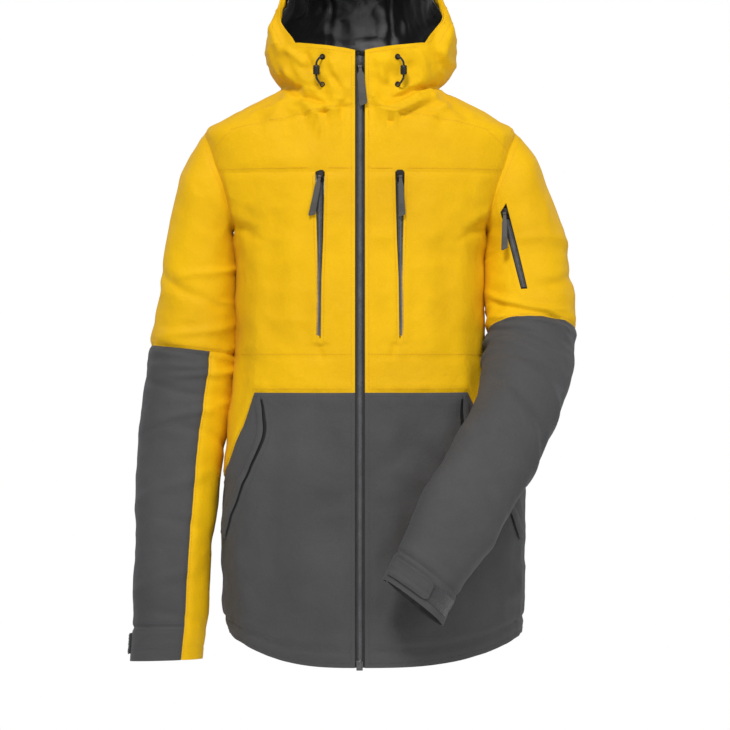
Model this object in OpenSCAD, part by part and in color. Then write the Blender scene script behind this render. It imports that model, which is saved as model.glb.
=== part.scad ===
// Insulated ski jacket, shown worn: the right arm hangs and the left forearm crosses the front.
// Millimetres. +Z up, the front faces -Y, +X is the wearer's left.
// The origin is the centre of the neck opening, where the hood meets the body.

/* [Body] */
// Height from the neck seam down to the front hem
body_length = 755; // [755:1:775]
// Depth of the neck seam in front of the origin
neck_front = 88.6; // [86:0.1:91]
// Thickness of the outer fabric
shell_t = 1.6; // [1.4:0.1:1.8]
// Height of the colour split at the front
split_drop = 400; // [395:1:405]
// How much further the colour split drops at the side seams
split_dip = 116; // [80:1:120]

/* [Hood] */
// Height of the collar at the chin
chin_height = 45; // [40:1:48]
// Height of the crown of the hood
hood_height = 312; // [306:1:318]

/* [Zips] */
// Width of the fabric gap that shows a zip
zip_gap = 13; // [12.6:0.1:14]
// Length of a chest pocket zip
chest_zip_length = 220; // [180:5:220]
// Distance of each chest zip from the centre line
chest_zip_x = 52; // [48:1:56]
// Length of the sleeve pocket zip
sleeve_zip_length = 112; // [100:1:114]

/* [Cords] */
// Diameter of the hood drawcord
cord_d = 2.8; // [2.4:0.1:3]

/* [Hidden] */

YELLOW = "#f0c010";
GREY = "#505052";
BLACK = "#1c1c1e";
TRIM = "#5f5f62";
METAL = "#6c6a68";

// Layers, as distances inside the outer surface
insulation_in = [5.2, 6.5];
lining_in = [8.4, 9.6];
bag_in = [12.8, 14];
skirt_in = [15.2, 16.4];
// Gap left along a seam between two panels, in millimetres and in degrees round the body
seam_z = 0.3;
seam_a = 0.12;

// Girth of the body and the hood: [height, value]
half_left = [[-800, 205], [-755, 208], [-716, 213], [-665, 219], [-600, 220], [-514, 216],
    [-450, 188], [-400, 170], [-345, 161], [-280, 159], [-230, 158], [-185, 166], [-150, 186],
    [-100, 205], [-56, 208], [-45, 192], [-30, 162], [-15, 132], [0, 98], [13, 114], [26, 122],
    [45, 127], [68, 126], [94, 117], [110, 106], [200, 100], [250, 88], [285, 62], [303, 30],
    [312, 1]];
half_right = [[-800, 158], [-755, 161], [-718, 172], [-685, 181], [-560, 184], [-502, 180],
    [-450, 174], [-400, 167], [-345, 161.5], [-280, 161], [-230, 161], [-185, 166], [-150, 186],
    [-100, 205], [-56, 208], [-45, 192], [-30, 162], [-15, 132], [0, 98], [13, 114], [26, 122],
    [45, 127], [68, 126], [94, 117], [110, 106], [200, 100], [250, 88], [285, 62], [303, 30],
    [312, 1]];
centre_y = [[-755, -12], [-60, -8], [0, -13], [45, -26], [68, -34], [84, -40], [103, -45],
    [200, -60], [250, -72], [285, -60], [303, -30], [312, -10]];
back_y = [[-755, 120], [-600, 113], [-450, 108], [-250, 115], [-160, 113], [-110, 106],
    [-60, 92], [-30, 78], [0, 62], [20, 90], [50, 110], [100, 135], [150, 145], [200, 142],
    [250, 125], [285, 85], [303, 40], [312, -9]];
hood_front = [[58, 56], [68, 48], [84, 32], [103, 25], [200, 25], [250, 28], [285, 36],
    [303, 62], [312, 1]];
squareness = [[-755, 2.4], [-200, 2.4], [-60, 2.3], [0, 2.1], [60, 2.2], [200, 2.2], [312, 2]];
// How far a layer drops as it goes in, on the shoulders and the crown
layer_drop = [[-110, 0], [-60, 0.5], [-40, 0.8], [-8, 0.7], [0, 0], [240, 0], [285, 0.7], [312, 1]];

zip_slope = 0.08;
zip_tilt = atan(zip_slope);
function zip_y(z) = -neck_front + zip_slope * z;

function mix(a, b, t) = a + (b - a) * t;
function spow(v, p) = sign(v) * pow(abs(v), p);
function unit(v) = v / norm(v);

function front_depth(z) = z <= 58 ? lookup(z, centre_y) - zip_y(z) : lookup(z, hood_front);

// A point of the garment's surface: angle a from the front towards the wearer's left, height z
function skin(a, z, inset = 0) =
    let (p = 2 / lookup(z, squareness),
        half = lookup(z, sin(a) >= 0 ? half_left : half_right),
        cy = lookup(z, centre_y),
        depth = cos(a) >= 0 ? front_depth(z) : lookup(z, back_y) - cy)
    [max(half - inset, 0.5) * spow(sin(a), p), cy - max(depth - inset, 0.5) * spow(cos(a), p),
        z - inset * lookup(z, layer_drop)];

// The angle at which the surface is a distance x from the centre line
function angle_at(x, z) = asin(pow(min(x / lookup(z, half_left), 1), lookup(z, squareness) / 2));

// Closed solid between two grids of points with the same rows and columns
function patch_faces(nr, nc, wrap) =
    let (last = wrap ? nc - 1 : nc - 2, n = nr * nc)
    [for (r = [0:nr - 2], c = [0:last])
        let (d = (c + 1) % nc, p = r * nc + c, q = r * nc + d, s = p - c + nc + d, t = p + nc)
        each [[p, q, s], [p, s, t], [n + p, n + s, n + q], [n + p, n + t, n + s]],
     for (c = [0:last])
        let (d = (c + 1) % nc, e = (nr - 1) * nc)
        each [[d, c, n + c], [d, n + c, n + d], [e + c, e + d, n + e + d], [e + c, n + e + d, n + e + c]],
     if (!wrap) for (r = [0:nr - 2])
        let (p = r * nc, t = p + nc, q = p + nc - 1, s = q + nc)
        each [[p, t, n + t], [p, n + t, n + p], [s, q, n + q], [s, n + q, n + s]]];

module slab(outer, inner, wrap = false) {
    nr = len(outer);
    nc = len(outer[0]);
    r = max(floor(nr / 2) - 1, 0);
    c = floor(nc / 2) - 1;
    way = cross(outer[r][c + 1] - outer[r][c], outer[r + 1][c] - outer[r][c])
        * (outer[r][c] - inner[r][c]);
    faces = patch_faces(nr, nc, wrap);
    polyhedron(points = [for (row = outer) each row, for (row = inner) each row],
        faces = way > 0 ? [for (f = faces) [f[2], f[1], f[0]]] : faces, convexity = 6);
}

// Part of the body's surface: side edges as angles a0(z), a1(z), top and bottom as z0(s), z1(s)
// with nz rows that crowd towards the top where grade is over 1
function skin_grid(a0, a1, z0, z1, ns, nz, inset, grade) =
    [for (j = [0:nz]) [for (i = [0:ns])
        let (s = i / ns, z = mix(z0(s) - seam_z, z1(s) + seam_z, pow(j / nz, grade)))
        skin(mix(a0(z), a1(z), s), z, inset)]];

module panel(a0, a1, z0, z1, ns, nz, layer, grade = 1) {
    slab(skin_grid(a0, a1, z0, z1, ns, nz, layer[0], grade),
        skin_grid(a0, a1, z0, z1, ns, nz, layer[1], grade));
}

// Edges of the panels
armhole_mid = -121;
armhole_half = 65;
armhole_spread = 24;
function armhole(z) =
    armhole_spread * sqrt(max(0, 1 - pow((z - armhole_mid) / armhole_half, 2)));
function zip_edge(gap) = function(z) angle_at(gap / 2, z);
function side_front(z) = 90 - seam_a - armhole(z);
function side_back(z) = 90 + seam_a + armhole(z);
function mirror_angle(f) = function(z) 360 - f(z);
function girth(a) = pow(abs(sin(a)), 0.833);
function drop_at(g) = -split_drop - split_dip * pow(max(0, g - 0.825) / 0.175, 0.8);
neck_seam = function(s) 0;
yoke_seam = function(s) -28 - 62 * pow(s, 1.2);
chest_seam = function(s) -112;
split_seam = function(s) drop_at(girth(90 * s));
front_hem = function(s) -body_length + 37 * pow(girth(90 * s), 3);
back_yoke_seam = function(s) -105;
back_split = function(s) drop_at(girth(90 + 180 * s));
back_hem = function(s) -718 - 47 * (1 - pow(girth(90 + 180 * s), 3));

shell_in = [0, shell_t];

front_columns = 10;
back_columns = 16;
// A front panel of either side; side is 1 for the wearer's left and -1 for the right
module front_half(side, z0, z1, nz, layer, gap = zip_gap, grade = 1) {
    near = zip_edge(gap);
    far = function(z) side_front(z);
    if (side > 0) panel(near, far, z0, z1, front_columns, nz, layer, grade);
    else panel(mirror_angle(near), mirror_angle(far), z0, z1, front_columns, nz, layer, grade);
}
module back_full(z0, z1, nz, layer, grade = 1) {
    panel(function(z) side_back(z), function(z) 360 - side_back(z), z0, z1, back_columns, nz, layer,
        grade);
}

// Zips. A zip's own frame: its centre line is Z, the fabric's face is y = 0 and the front is -Y
tape_y = [3.4, 4.1];
coil_gap = 1.4;
coil_w = 2.3;
coil_front = -0.2;
module zip_side(length, side, reach) {
    scale([side, 1, 1]) {
        translate([coil_gap / 2 + 0.3, tape_y[0], -length]) cube([reach, tape_y[1] - tape_y[0], length]);
        translate([coil_gap / 2, coil_front, -length]) cube([coil_w, tape_y[0] - coil_front, length]);
    }
}
slider_w = 9.6;
slider_h = 13;
bail_r = 0.9;
pull_clear = 0.25;
module zip_slider() {
    front_t = 1.5;
    front_y = coil_front - 0.6;
    translate([-slider_w / 2, front_y - front_t, -slider_h / 2]) cube([slider_w, front_t, slider_h]);
    translate([-slider_w / 2, tape_y[1] + 0.5, -slider_h / 2]) cube([slider_w, 1.1, slider_h]);
    translate([-0.4, front_y - 0.1, -slider_h / 2 + 1]) cube([0.8, tape_y[1] - front_y + 0.8, 5]);
    for (x = [-1, 1]) translate([x * 3.6 - 0.7, pull_y - bail_r - 0.5, -1.6])
        cube([1.4, front_y - pull_y + bail_r, 3.2]);
    translate([-3.6, pull_y, 0]) rotate([0, 90, 0]) cylinder(r = bail_r, h = 7.2, $fn = 32);
}
pull_y = -4.9;
pull_t = 2;
pull_eye_r = 2.1;
module zip_pull(length, width, eye_w = 4.6) {
    tip = 3;
    difference() {
        union() {
            translate([0, pull_y - pull_t / 2, 0]) rotate([-90, 0, 0]) linear_extrude(pull_t)
                polygon([[-eye_w / 2, 0], [eye_w / 2, 0], [eye_w / 2, 7], [width / 2, 9],
                    [width / 2, length - tip], [width / 2 - tip, length],
                    [tip - width / 2, length], [-width / 2, length - tip], [-width / 2, 9],
                    [-eye_w / 2, 7]]);
            translate([-eye_w / 2, pull_y, 0]) rotate([0, 90, 0])
                cylinder(r = pull_eye_r, h = eye_w, $fn = 32);
        }
        translate([-width, pull_y, 0]) rotate([0, 90, 0])
            cylinder(r = bail_r + pull_clear, h = 2 * width, $fn = 32);
    }
}

main_zip_top = chin_height - 4;
main_slider_z = 25;
module main_frame(z) {
    translate([0, zip_y(z), z]) rotate([-zip_tilt, 0, 0]) children();
}
main_zip_length = (main_zip_top + body_length - 6) / cos(zip_tilt);

chest_zip_z = -110;
chest_slider_z = -119;
chest_turn = 7;
chest_lean = atan((skin(angle_at(chest_zip_x, -330), -330)[1]
    - skin(angle_at(chest_zip_x, -110), -110)[1]) / 220);
module chest_frame(side, z) {
    start = skin(angle_at(chest_zip_x, chest_zip_z), chest_zip_z);
    y = start[1] + (chest_zip_z - z) * tan(chest_lean);
    translate([side * chest_zip_x, y, z]) rotate([chest_lean, 0, side * chest_turn]) children();
}
module chest_slot(side, width, deep) {
    chest_frame(side, chest_zip_z) translate([-width / 2, -6, -chest_zip_length])
        cube([width, deep + 6, chest_zip_length]);
}

// Arms, from the armhole to the cuff's edge: [outer x, outer z, inner x, inner z, centre y, half depth]
right_arm = [[-209.5, -57, -169.5, -186, -4, 50], [-224, -84, -168, -192, -4, 50],
    [-234, -104, -168, -199, -4, 50], [-245, -150, -167, -214, -3, 50],
    [-259, -214, -166, -240, -2, 50], [-268, -280, -165.5, -290, -1, 51],
    [-279, -338, -166, -351, -1, 52], [-287, -396, -171, -400, -4, 53],
    [-294, -454, -178, -454, -9, 53], [-296, -502, -184, -502, -14, 51],
    [-297, -562, -190, -562, -21, 49], [-297, -605, -195, -605, -27, 47],
    [-299, -647, -198, -647, -32, 46], [-299.5, -710, -202.5, -710, -38, 44],
    [-302, -730, -205, -730, -39, 43], [-303, -754, -207, -751, -40, 42]];
right_elbow = 6;
right_wrist = 13;
left_arm = [[209.5, -57, 169.5, -186, -4, 50], [233, -88, 168, -192, -4, 50],
    [248, -129, 168, -202, -5, 50], [261, -162, 167, -212, -6, 50],
    [273, -200, 167, -228, -8, 50], [279, -242, 167, -252, -13, 50],
    [284, -280, 168, -285, -20, 50], [285, -319, 170, -321, -32, 50],
    [283, -345, 168, -340, -47, 49], [276, -380, 166, -368, -71, 48],
    [262, -424, 160, -398, -101, 46], [243, -463, 146, -421, -127, 45],
    [219, -511, 128, -449, -150, 44], [196, -548, 107, -487, -167, 43],
    [170, -594, 80, -529, -181, 42], [143, -632, 61, -574, -190, 41],
    [124, -660, 47, -601, -195, 40], [116, -677, 39, -618, -197, 39.5],
    [106, -697, 30, -638, -200, 39]];
left_elbow = 7;
left_wrist = 16;
// Half of the gap across a joint, and across a sewn seam
joint_gap = 0.6;
sewn_gap = 0.3;

function ring_centre(r) = [(r[0] + r[2]) / 2, r[4], (r[1] + r[3]) / 2];
function ring_ahead(arm, i) =
    unit(ring_centre(arm[min(i + 1, len(arm) - 1)]) - ring_centre(arm[max(i - 1, 0)]));
// A point of an arm's ring: t is 0 on the inner side and 90 at the front
function ring_point(arm, i, t, inset, shift = 0) =
    let (r = arm[i],
        ahead = ring_ahead(arm, i),
        half = [(r[2] - r[0]) / 2, 0, (r[3] - r[1]) / 2],
        side = unit(cross(half, ahead)),
        front = side[1] < 0 ? side : -side,
        p = 2 / 2.2)
    ring_centre(r) + unit(half) * (norm(half) - inset) * spow(cos(t), p)
        + front * (r[5] - inset) * spow(sin(t), p) + ahead * shift;

// Rings first to last of an arm, from angle t0 to t1, shortened by the gaps at its two ends
module sleeve_part(arm, first, last, t0, t1, nt, layer, gap0 = joint_gap, gap1 = sewn_gap) {
    whole = t1 - t0 >= 360;
    grid = function(inset) [for (i = [first:last]) [for (k = [0:whole ? nt - 1 : nt])
        ring_point(arm, i, mix(t0, t1, k / nt), inset, i == first ? gap0 : i == last ? -gap1 : 0)]];
    slab(grid(layer[0]), grid(layer[1]), whole);
}

// Sleeve pocket zip, on the front of the left upper sleeve
sleeve_zip_top = [189, -157];
sleeve_zip_turn = atan2(31, 113);
sleeve_zip_y = [-49.6, -66.2];
sleeve_zip_twist = -10;
sleeve_zip_lean = atan((sleeve_zip_y[0] - sleeve_zip_y[1]) / sleeve_zip_length);
module sleeve_frame(drop) {
    translate([sleeve_zip_top[0], sleeve_zip_y[0], sleeve_zip_top[1]]) rotate([0, -sleeve_zip_turn, 0])
        rotate([-sleeve_zip_lean, 0, sleeve_zip_twist]) translate([0, 0, -drop]) children();
}

module front_yoke_right() color(YELLOW) front_half(-1, neck_seam, yoke_seam, 7, shell_in);
module front_yoke_left() color(YELLOW) front_half(1, neck_seam, yoke_seam, 7, shell_in);
module back_yoke() color(YELLOW) back_full(neck_seam, back_yoke_seam, 8, shell_in);
module chest_panel(side) {
    difference() {
        front_half(side, yoke_seam, chest_seam, 4, shell_in);
        chest_slot(side, zip_gap, 5);
    }
}
module chest_panel_right() color(YELLOW) chest_panel(-1);
module chest_panel_left() color(YELLOW) chest_panel(1);
module front_panel(side) {
    difference() {
        front_half(side, chest_seam, split_seam, 12, shell_in);
        chest_slot(side, zip_gap, 5);
    }
}
module front_panel_right() color(YELLOW) front_panel(-1);
module front_panel_left() color(YELLOW) front_panel(1);
module lower_front_right() color(GREY) front_half(-1, split_seam, front_hem, 10, shell_in);
module lower_front_left() color(GREY) front_half(1, split_seam, front_hem, 10, shell_in);
module back_panel() color(YELLOW) back_full(back_yoke_seam, back_split, 12, shell_in);
module lower_back() color(GREY) back_full(back_split, back_hem, 8, shell_in);

lining_bottom = function(s) -705;
lining_gap = 20;
module body_lining() color(BLACK) {
    for (side = [-1, 1]) front_half(side, neck_seam, lining_bottom, 13, lining_in, lining_gap, 1.7);
    back_full(neck_seam, lining_bottom, 13, lining_in, 1.7);
}
insulation_gap = 44;
module insulation() color("#e8e6e0") {
    for (side = [-1, 1]) difference() {
        front_half(side, neck_seam, lining_bottom, 13, insulation_in, insulation_gap, 1.7);
        chest_slot(side, 30, 12);
    }
    back_full(neck_seam, lining_bottom, 13, insulation_in, 1.7);
}

// Collar: from the neck seam to the chin and, round the sides, to the hood
function collar_top(g) = g < 0.66 ? mix(chin_height, 58, pow(g / 0.66, 0.7)) : 58;
function collar_ends(a) = cos(a) > 0 ? collar_top(girth(a)) : mix(58, 50, -cos(a));
module collar_half(side, layer, gap, ns = 18, nz = 4) {
    near = zip_edge(gap);
    far = function(z) 180 - seam_a;
    top = function(s) collar_ends(mix(4, 180, s)) - 0.6;
    if (side > 0) panel(near, far, top, function(s) 0, ns, nz, layer);
    else panel(mirror_angle(near), mirror_angle(far), top, function(s) 0, ns, nz, layer);
}
eyelet_x = 49;
eyelet_z = [39, 3];
eyelet_y = [-81.7, -80.2];
eyelet_hole = 5.4;
eyelet_turn = 20;
module eyelet_frame(side, k) {
    translate([side * eyelet_x, eyelet_y[k], eyelet_z[k]]) rotate([90, 0, side * eyelet_turn]) children();
}
module collar() color(YELLOW) difference() {
    for (side = [-1, 1]) collar_half(side, shell_in, zip_gap);
    for (side = [-1, 1], k = [0, 1]) eyelet_frame(side, k)
        cylinder(d = eyelet_hole + 0.6, h = 16, center = true, $fn = 24);
}
module collar_lining() color(BLACK) for (side = [-1, 1]) collar_half(side, lining_in, lining_gap);

module zip_tape_right() color(TRIM) main_frame(main_zip_top) zip_side(main_zip_length, -1, 14);
module zip_tape_left() color(TRIM) main_frame(main_zip_top) zip_side(main_zip_length, 1, 14);
module zip_box() color(METAL) main_frame(main_zip_top) {
    translate([0, 0, -main_zip_length - 0.3]) {
        translate([-4.6, -0.6, -9]) cube([6.2, 4.4, 8.9]);
        translate([2, 0.4, -9]) cube([1.6, 2.6, 8.9]);
    }
}
module zip_stops() color(METAL) main_frame(main_zip_top) for (x = [-1, 1])
    translate([x * 2.2 - 1.4, -0.9, 0.2]) cube([2.8, 4.2, 3.2]);
module main_slider() color(METAL) main_frame(main_slider_z) zip_slider();
module main_pull() color(METAL) main_frame(main_slider_z) zip_pull(50, 8.5);
// Wind flap behind the main zip
module storm_flap() color(BLACK) main_frame(30)
    translate([-26, 12.6, -700]) cube([52, 1.2, 700]);

module chest_zip(side) {
    chest_frame(side, chest_zip_z) for (k = [-1, 1]) zip_side(chest_zip_length - 1, k, 9);
}
module chest_zip_right() color(TRIM) chest_zip(-1);
module chest_zip_left() color(TRIM) chest_zip(1);
module chest_slider_right() color(METAL) chest_frame(-1, chest_slider_z) zip_slider();
module chest_slider_left() color(METAL) chest_frame(1, chest_slider_z) zip_slider();
module chest_pull_right() color(METAL) chest_frame(-1, chest_slider_z) zip_pull(52, 6.5);
module chest_pull_left() color(METAL) chest_frame(1, chest_slider_z) zip_pull(52, 6.5);

// Hand pocket welts: [height, share of the half width]
welt_line = [[-592, 0.95], [-560, 0.905], [-515, 0.825], [-477, 0.75], [-455, 0.715], [-429, 0.735],
    [-405, 0.765]];
welt_w = 0.045;
function welt_angle(z, k) = asin(pow(min(lookup(z, welt_line) + k, 1), 1.2));
module pocket_welt(side) {
    grid = function(inset) [for (j = [0:16]) [for (k = [0:3])
        let (z = mix(-406, -592, j / 16), a = welt_angle(z, mix(0, welt_w, k / 3)))
        skin(side > 0 ? a : 360 - a, z, inset)]];
    slab(grid(-3.2), grid(-1.3));
}
module pocket_welt_right() color(GREY) pocket_welt(-1);
module pocket_welt_left() color(GREY) pocket_welt(1);
module pocket_bags() color(BLACK) for (side = [-1, 1]) {
    turn = function(f) side > 0 ? f : mirror_angle(f);
    panel(turn(function(z) 24), turn(function(z) 52), function(s) -130, function(s) -330, 4, 4, bag_in);
    panel(turn(function(z) 26), turn(function(z) 66), function(s) -410, function(s) -600, 5, 4, bag_in);
}

module eyelet(side, k) {
    eyelet_frame(side, k) difference() {
        union() {
            translate([0, 0, 0.5]) cylinder(d = 7.8, h = 1.1, $fn = 32);
            translate([0, 0, -2.6]) cylinder(d = eyelet_hole, h = 3.4, $fn = 32);
        }
        translate([0, 0, -5]) cylinder(d = 3.9, h = 10, $fn = 32);
    }
}
module eyelets() color(METAL) for (side = [-1, 1], k = [0, 1]) eyelet(side, k);

// Hood drawcord: a short loop outside the collar, for the wearer's left side
lock_x = 57;
lock_y = -92;
lock_z = 21;
cord_route = [[48, -79, 39], [49, -82, 39], [50.5, -86, 39], [52.5, -89.5, 37.6], [55, -91.5, 34.5],
    [56.6, -92, 31.5], [57, -92, 29], [57, -92, 25], [57, -92, 21], [57, -92, 17], [57, -92, 13],
    [56.6, -92, 10.5], [55, -91.3, 7.4], [52.6, -88.6, 4.2], [50.4, -84.6, 3], [49, -80.8, 3],
    [48, -78, 3]];
function cord_dir(pts, i) = unit(pts[min(i + 1, len(pts) - 1)] - pts[max(i - 1, 0)]);
module tube(pts, d, sides = 8) {
    n = len(pts);
    points = [for (i = [0:n - 1])
        let (f = cord_dir(pts, i), u = unit(cross(f, [1, 0, 0])), v = cross(f, u))
        for (k = [0:sides - 1]) pts[i] + (u * cos(360 * k / sides) + v * sin(360 * k / sides)) * d / 2];
    faces = [for (i = [0:n - 2], k = [0:sides - 1])
            let (a = i * sides + k, b = i * sides + (k + 1) % sides)
            each [[a, b, b + sides], [a, b + sides, a + sides]],
        [for (k = [sides - 1:-1:0]) k], [for (k = [0:sides - 1]) (n - 1) * sides + k]];
    polyhedron(points = points, faces = [for (f = faces) [for (k = [len(f) - 1:-1:0]) f[k]]], convexity = 4);
}
module hood_cord_left() color(BLACK) tube(cord_route, cord_d);
module hood_cord_right() color(BLACK) tube([for (p = cord_route) [-p[0], p[1], p[2]]], cord_d);
module cord_lock() {
    translate([lock_x, lock_y, lock_z]) rotate_extrude($fn = 40)
        polygon([[1.75, -6.2], [3.4, -6.2], [4.2, -5.2], [4.5, -3], [4.5, 3], [4.2, 5.2], [3.4, 6.2],
            [1.75, 6.2]]);
}
module cord_lock_right() color(BLACK) mirror([1, 0, 0]) cord_lock();
module cord_lock_left() color(BLACK) cord_lock();

module powder_skirt() color(BLACK) {
    top = function(s) -530;
    foot = function(s) -620;
    back_full(top, foot, 2, skirt_in);
    for (side = [-1, 1]) front_half(side, top, foot, 2, skirt_in, 60);
}
// Loop of tape sewn inside the back of the neck
hanger_w = 70;
hanger_t = 1.6;
module hanger_loop() color(BLACK) translate([0, 44, -14]) rotate([90, 0, 0]) linear_extrude(6, center = true)
    difference() {
        translate([-hanger_w / 2, 0]) square([hanger_w, 14]);
        translate([-hanger_w / 2 + 4, hanger_t]) square([hanger_w - 8, 14 - 2 * hanger_t]);
    }

// Hood: rows from the collar to the crown
rim = [[50, 37], [58, 37], [68, 47], [84, 56], [103, 84], [200, 86], [250, 78], [278, 58],
    [290, 45], [300, 25], [305, 3], [312, 3]];
hood_rows = [0, 0.04, 0.1, 0.18, 0.28, 0.4, 0.52, 0.64, 0.74, 0.82, 0.88, 0.93, 0.965, 0.985, 1];
seam_x = 46;
function hood_seam(z) =
    180 - asin(pow(min(seam_x / max(lookup(z, half_left), 1), 0.6), 1.1));
function hood_z(s, k) = mix(collar_ends(mix(38, 180, s)) + 0.8, hood_height, hood_rows[k]);
function hood_grid(side, a0, a1, s0, s1, ns, inset) =
    [for (k = [0:len(hood_rows) - 1]) [for (i = [0:ns])
        let (z = hood_z(mix(s0, s1, i / ns), k), a = mix(a0(z), a1(z), i / ns))
        skin(side > 0 ? a : 360 - a, z, inset)]];
module hood_part(side, a0, a1, s0, s1, ns, layer) {
    slab(hood_grid(side, a0, a1, s0, s1, ns, layer[0]), hood_grid(side, a0, a1, s0, s1, ns, layer[1]));
}
module hood_side_right() color(YELLOW)
    hood_part(-1, function(z) lookup(z, rim), function(z) hood_seam(z) - 0.2, 0, 0.8, 12, shell_in);
module hood_side_left() color(YELLOW)
    hood_part(1, function(z) lookup(z, rim), function(z) hood_seam(z) - 0.2, 0, 0.8, 12, shell_in);
module hood_centre() color(YELLOW) for (side = [-1, 1])
    hood_part(side, function(z) hood_seam(z) + 0.2, function(z) 180 - 0.01, 0.8, 1, 4, shell_in);
module hood_lining() color(BLACK) for (side = [-1, 1])
    hood_part(side, function(z) lookup(z, rim), function(z) 180 - 0.01, 0, 1, 9, lining_in);
// Stiffened edge of the face opening, between the shell and the lining
module hood_brim() color(BLACK) for (side = [-1, 1])
    hood_part(side, function(z) lookup(z, rim) + 1, function(z) lookup(z, rim) + 7, 0, 0.05, 2, insulation_in);

module upper_sleeve(arm, elbow) {
    sleeve_part(arm, 0, elbow, 0, 360, 24, shell_in, joint_gap, joint_gap);
}
module sleeve_upper_right() color(YELLOW) upper_sleeve(right_arm, right_elbow);
module sleeve_upper_left() color(YELLOW) difference() {
    upper_sleeve(left_arm, left_elbow);
    sleeve_frame(0) translate([-zip_gap / 2 + 0.5, -8, -sleeve_zip_length])
        cube([zip_gap - 1, 16, sleeve_zip_length]);
}
// The grey outer side stops at the cuff's seam; the yellow inner side runs on to the cuff's edge
right_split = [66, 294];
left_split = [-20, 265];
module forearm_outer(arm, elbow, wrist, split) {
    sleeve_part(arm, elbow, wrist, split[0] + 0.3, split[1] - 0.3, 16, shell_in);
}
module forearm_inner(arm, elbow, split) {
    sleeve_part(arm, elbow, len(arm) - 1, split[1] - 360, split[0], 8, shell_in, joint_gap, 0);
}
module cuff(arm, wrist, split) {
    sleeve_part(arm, wrist, len(arm) - 1, split[0] + 0.3, split[1] - 0.3, 16, shell_in, sewn_gap, 0);
}
module forearm_outer_right() color(GREY) forearm_outer(right_arm, right_elbow, right_wrist, right_split);
module forearm_outer_left() color(GREY) forearm_outer(left_arm, left_elbow, left_wrist, left_split);
module forearm_inner_right() color(YELLOW) forearm_inner(right_arm, right_elbow, right_split);
module forearm_inner_left() color(YELLOW) forearm_inner(left_arm, left_elbow, left_split);
module cuff_right() color(GREY) cuff(right_arm, right_wrist, right_split);
module cuff_left() color(GREY) cuff(left_arm, left_wrist, left_split);

// Cuff tabs lie over the cuffs: rings of the cuff shortened at both ends
tab_layer = [-2.6, -0.8];
function tab_rings(arm, wrist) = [for (k = [0.2, 0.5, 0.82])
    let (i = wrist + (k < 0.5 ? 0 : 1), f = k < 0.5 ? 2 * k : 2 * k - 1)
    [for (c = [0:5]) mix(arm[i][c], arm[i + 1][c], f)]];
module cuff_tab(arm, wrist, t0, t1) {
    sleeve_part(tab_rings(arm, wrist), 0, 2, t0, t1, 8, tab_layer, 0, 0);
}
module cuff_tab_right() color(GREY) cuff_tab(right_arm, right_wrist, 170, 262);
module cuff_tab_left() color(GREY) cuff_tab(left_arm, left_wrist, 21, 103);

module sleeve_zip() color(TRIM) sleeve_frame(0) for (k = [-1, 1]) zip_side(sleeve_zip_length - 1, k, 4.9);
module sleeve_slider() color(METAL) sleeve_frame(9) zip_slider();
// The pull stands off a little, so that it clears the sleeve below the zip
pull_lift = 6;
module sleeve_pull() color(METAL) sleeve_frame(9)
    translate([0, pull_y, 0]) rotate([-pull_lift, 0, 0]) translate([0, -pull_y, 0]) zip_pull(50, 6);

module upper_lining(arm, elbow) {
    sleeve_part(arm, 0, elbow, 0, 360, 16, lining_in, joint_gap, joint_gap);
}
module sleeve_lining_right() color(BLACK) upper_lining(right_arm, right_elbow);
module sleeve_lining_left() color(BLACK) upper_lining(left_arm, left_elbow);
module forearm_lining(arm, elbow) {
    sleeve_part(arm, elbow, len(arm) - 1, 0, 360, 16, lining_in, joint_gap, 1);
}
module forearm_lining_right() color(BLACK) forearm_lining(right_arm, right_elbow);
module forearm_lining_left() color(BLACK) forearm_lining(left_arm, left_elbow);

front_yoke_right();
front_yoke_left();
back_yoke();
chest_panel_right();
chest_panel_left();
front_panel_right();
front_panel_left();
lower_front_right();
lower_front_left();
back_panel();
lower_back();
body_lining();
insulation();
collar();
collar_lining();
zip_tape_right();
zip_tape_left();
zip_box();
zip_stops();
main_slider();
main_pull();
storm_flap();
chest_zip_right();
chest_zip_left();
chest_slider_right();
chest_slider_left();
chest_pull_right();
chest_pull_left();
pocket_welt_right();
pocket_welt_left();
pocket_bags();
eyelets();
hood_cord_right();
hood_cord_left();
cord_lock_right();
cord_lock_left();
powder_skirt();
hanger_loop();
hood_side_right();
hood_side_left();
hood_centre();
hood_brim();
hood_lining();
sleeve_upper_right();
sleeve_upper_left();
forearm_outer_right();
forearm_outer_left();
forearm_inner_right();
forearm_inner_left();
cuff_right();
cuff_left();
cuff_tab_right();
cuff_tab_left();
sleeve_zip();
sleeve_slider();
sleeve_pull();
sleeve_lining_right();
sleeve_lining_left();
forearm_lining_right();
forearm_lining_left();
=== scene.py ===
# Insulated ski jacket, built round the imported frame. Lengths are millimetres until a mesh is made.
import math

import bmesh
import bpy
import numpy as np
from mathutils import Matrix, Vector


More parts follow.
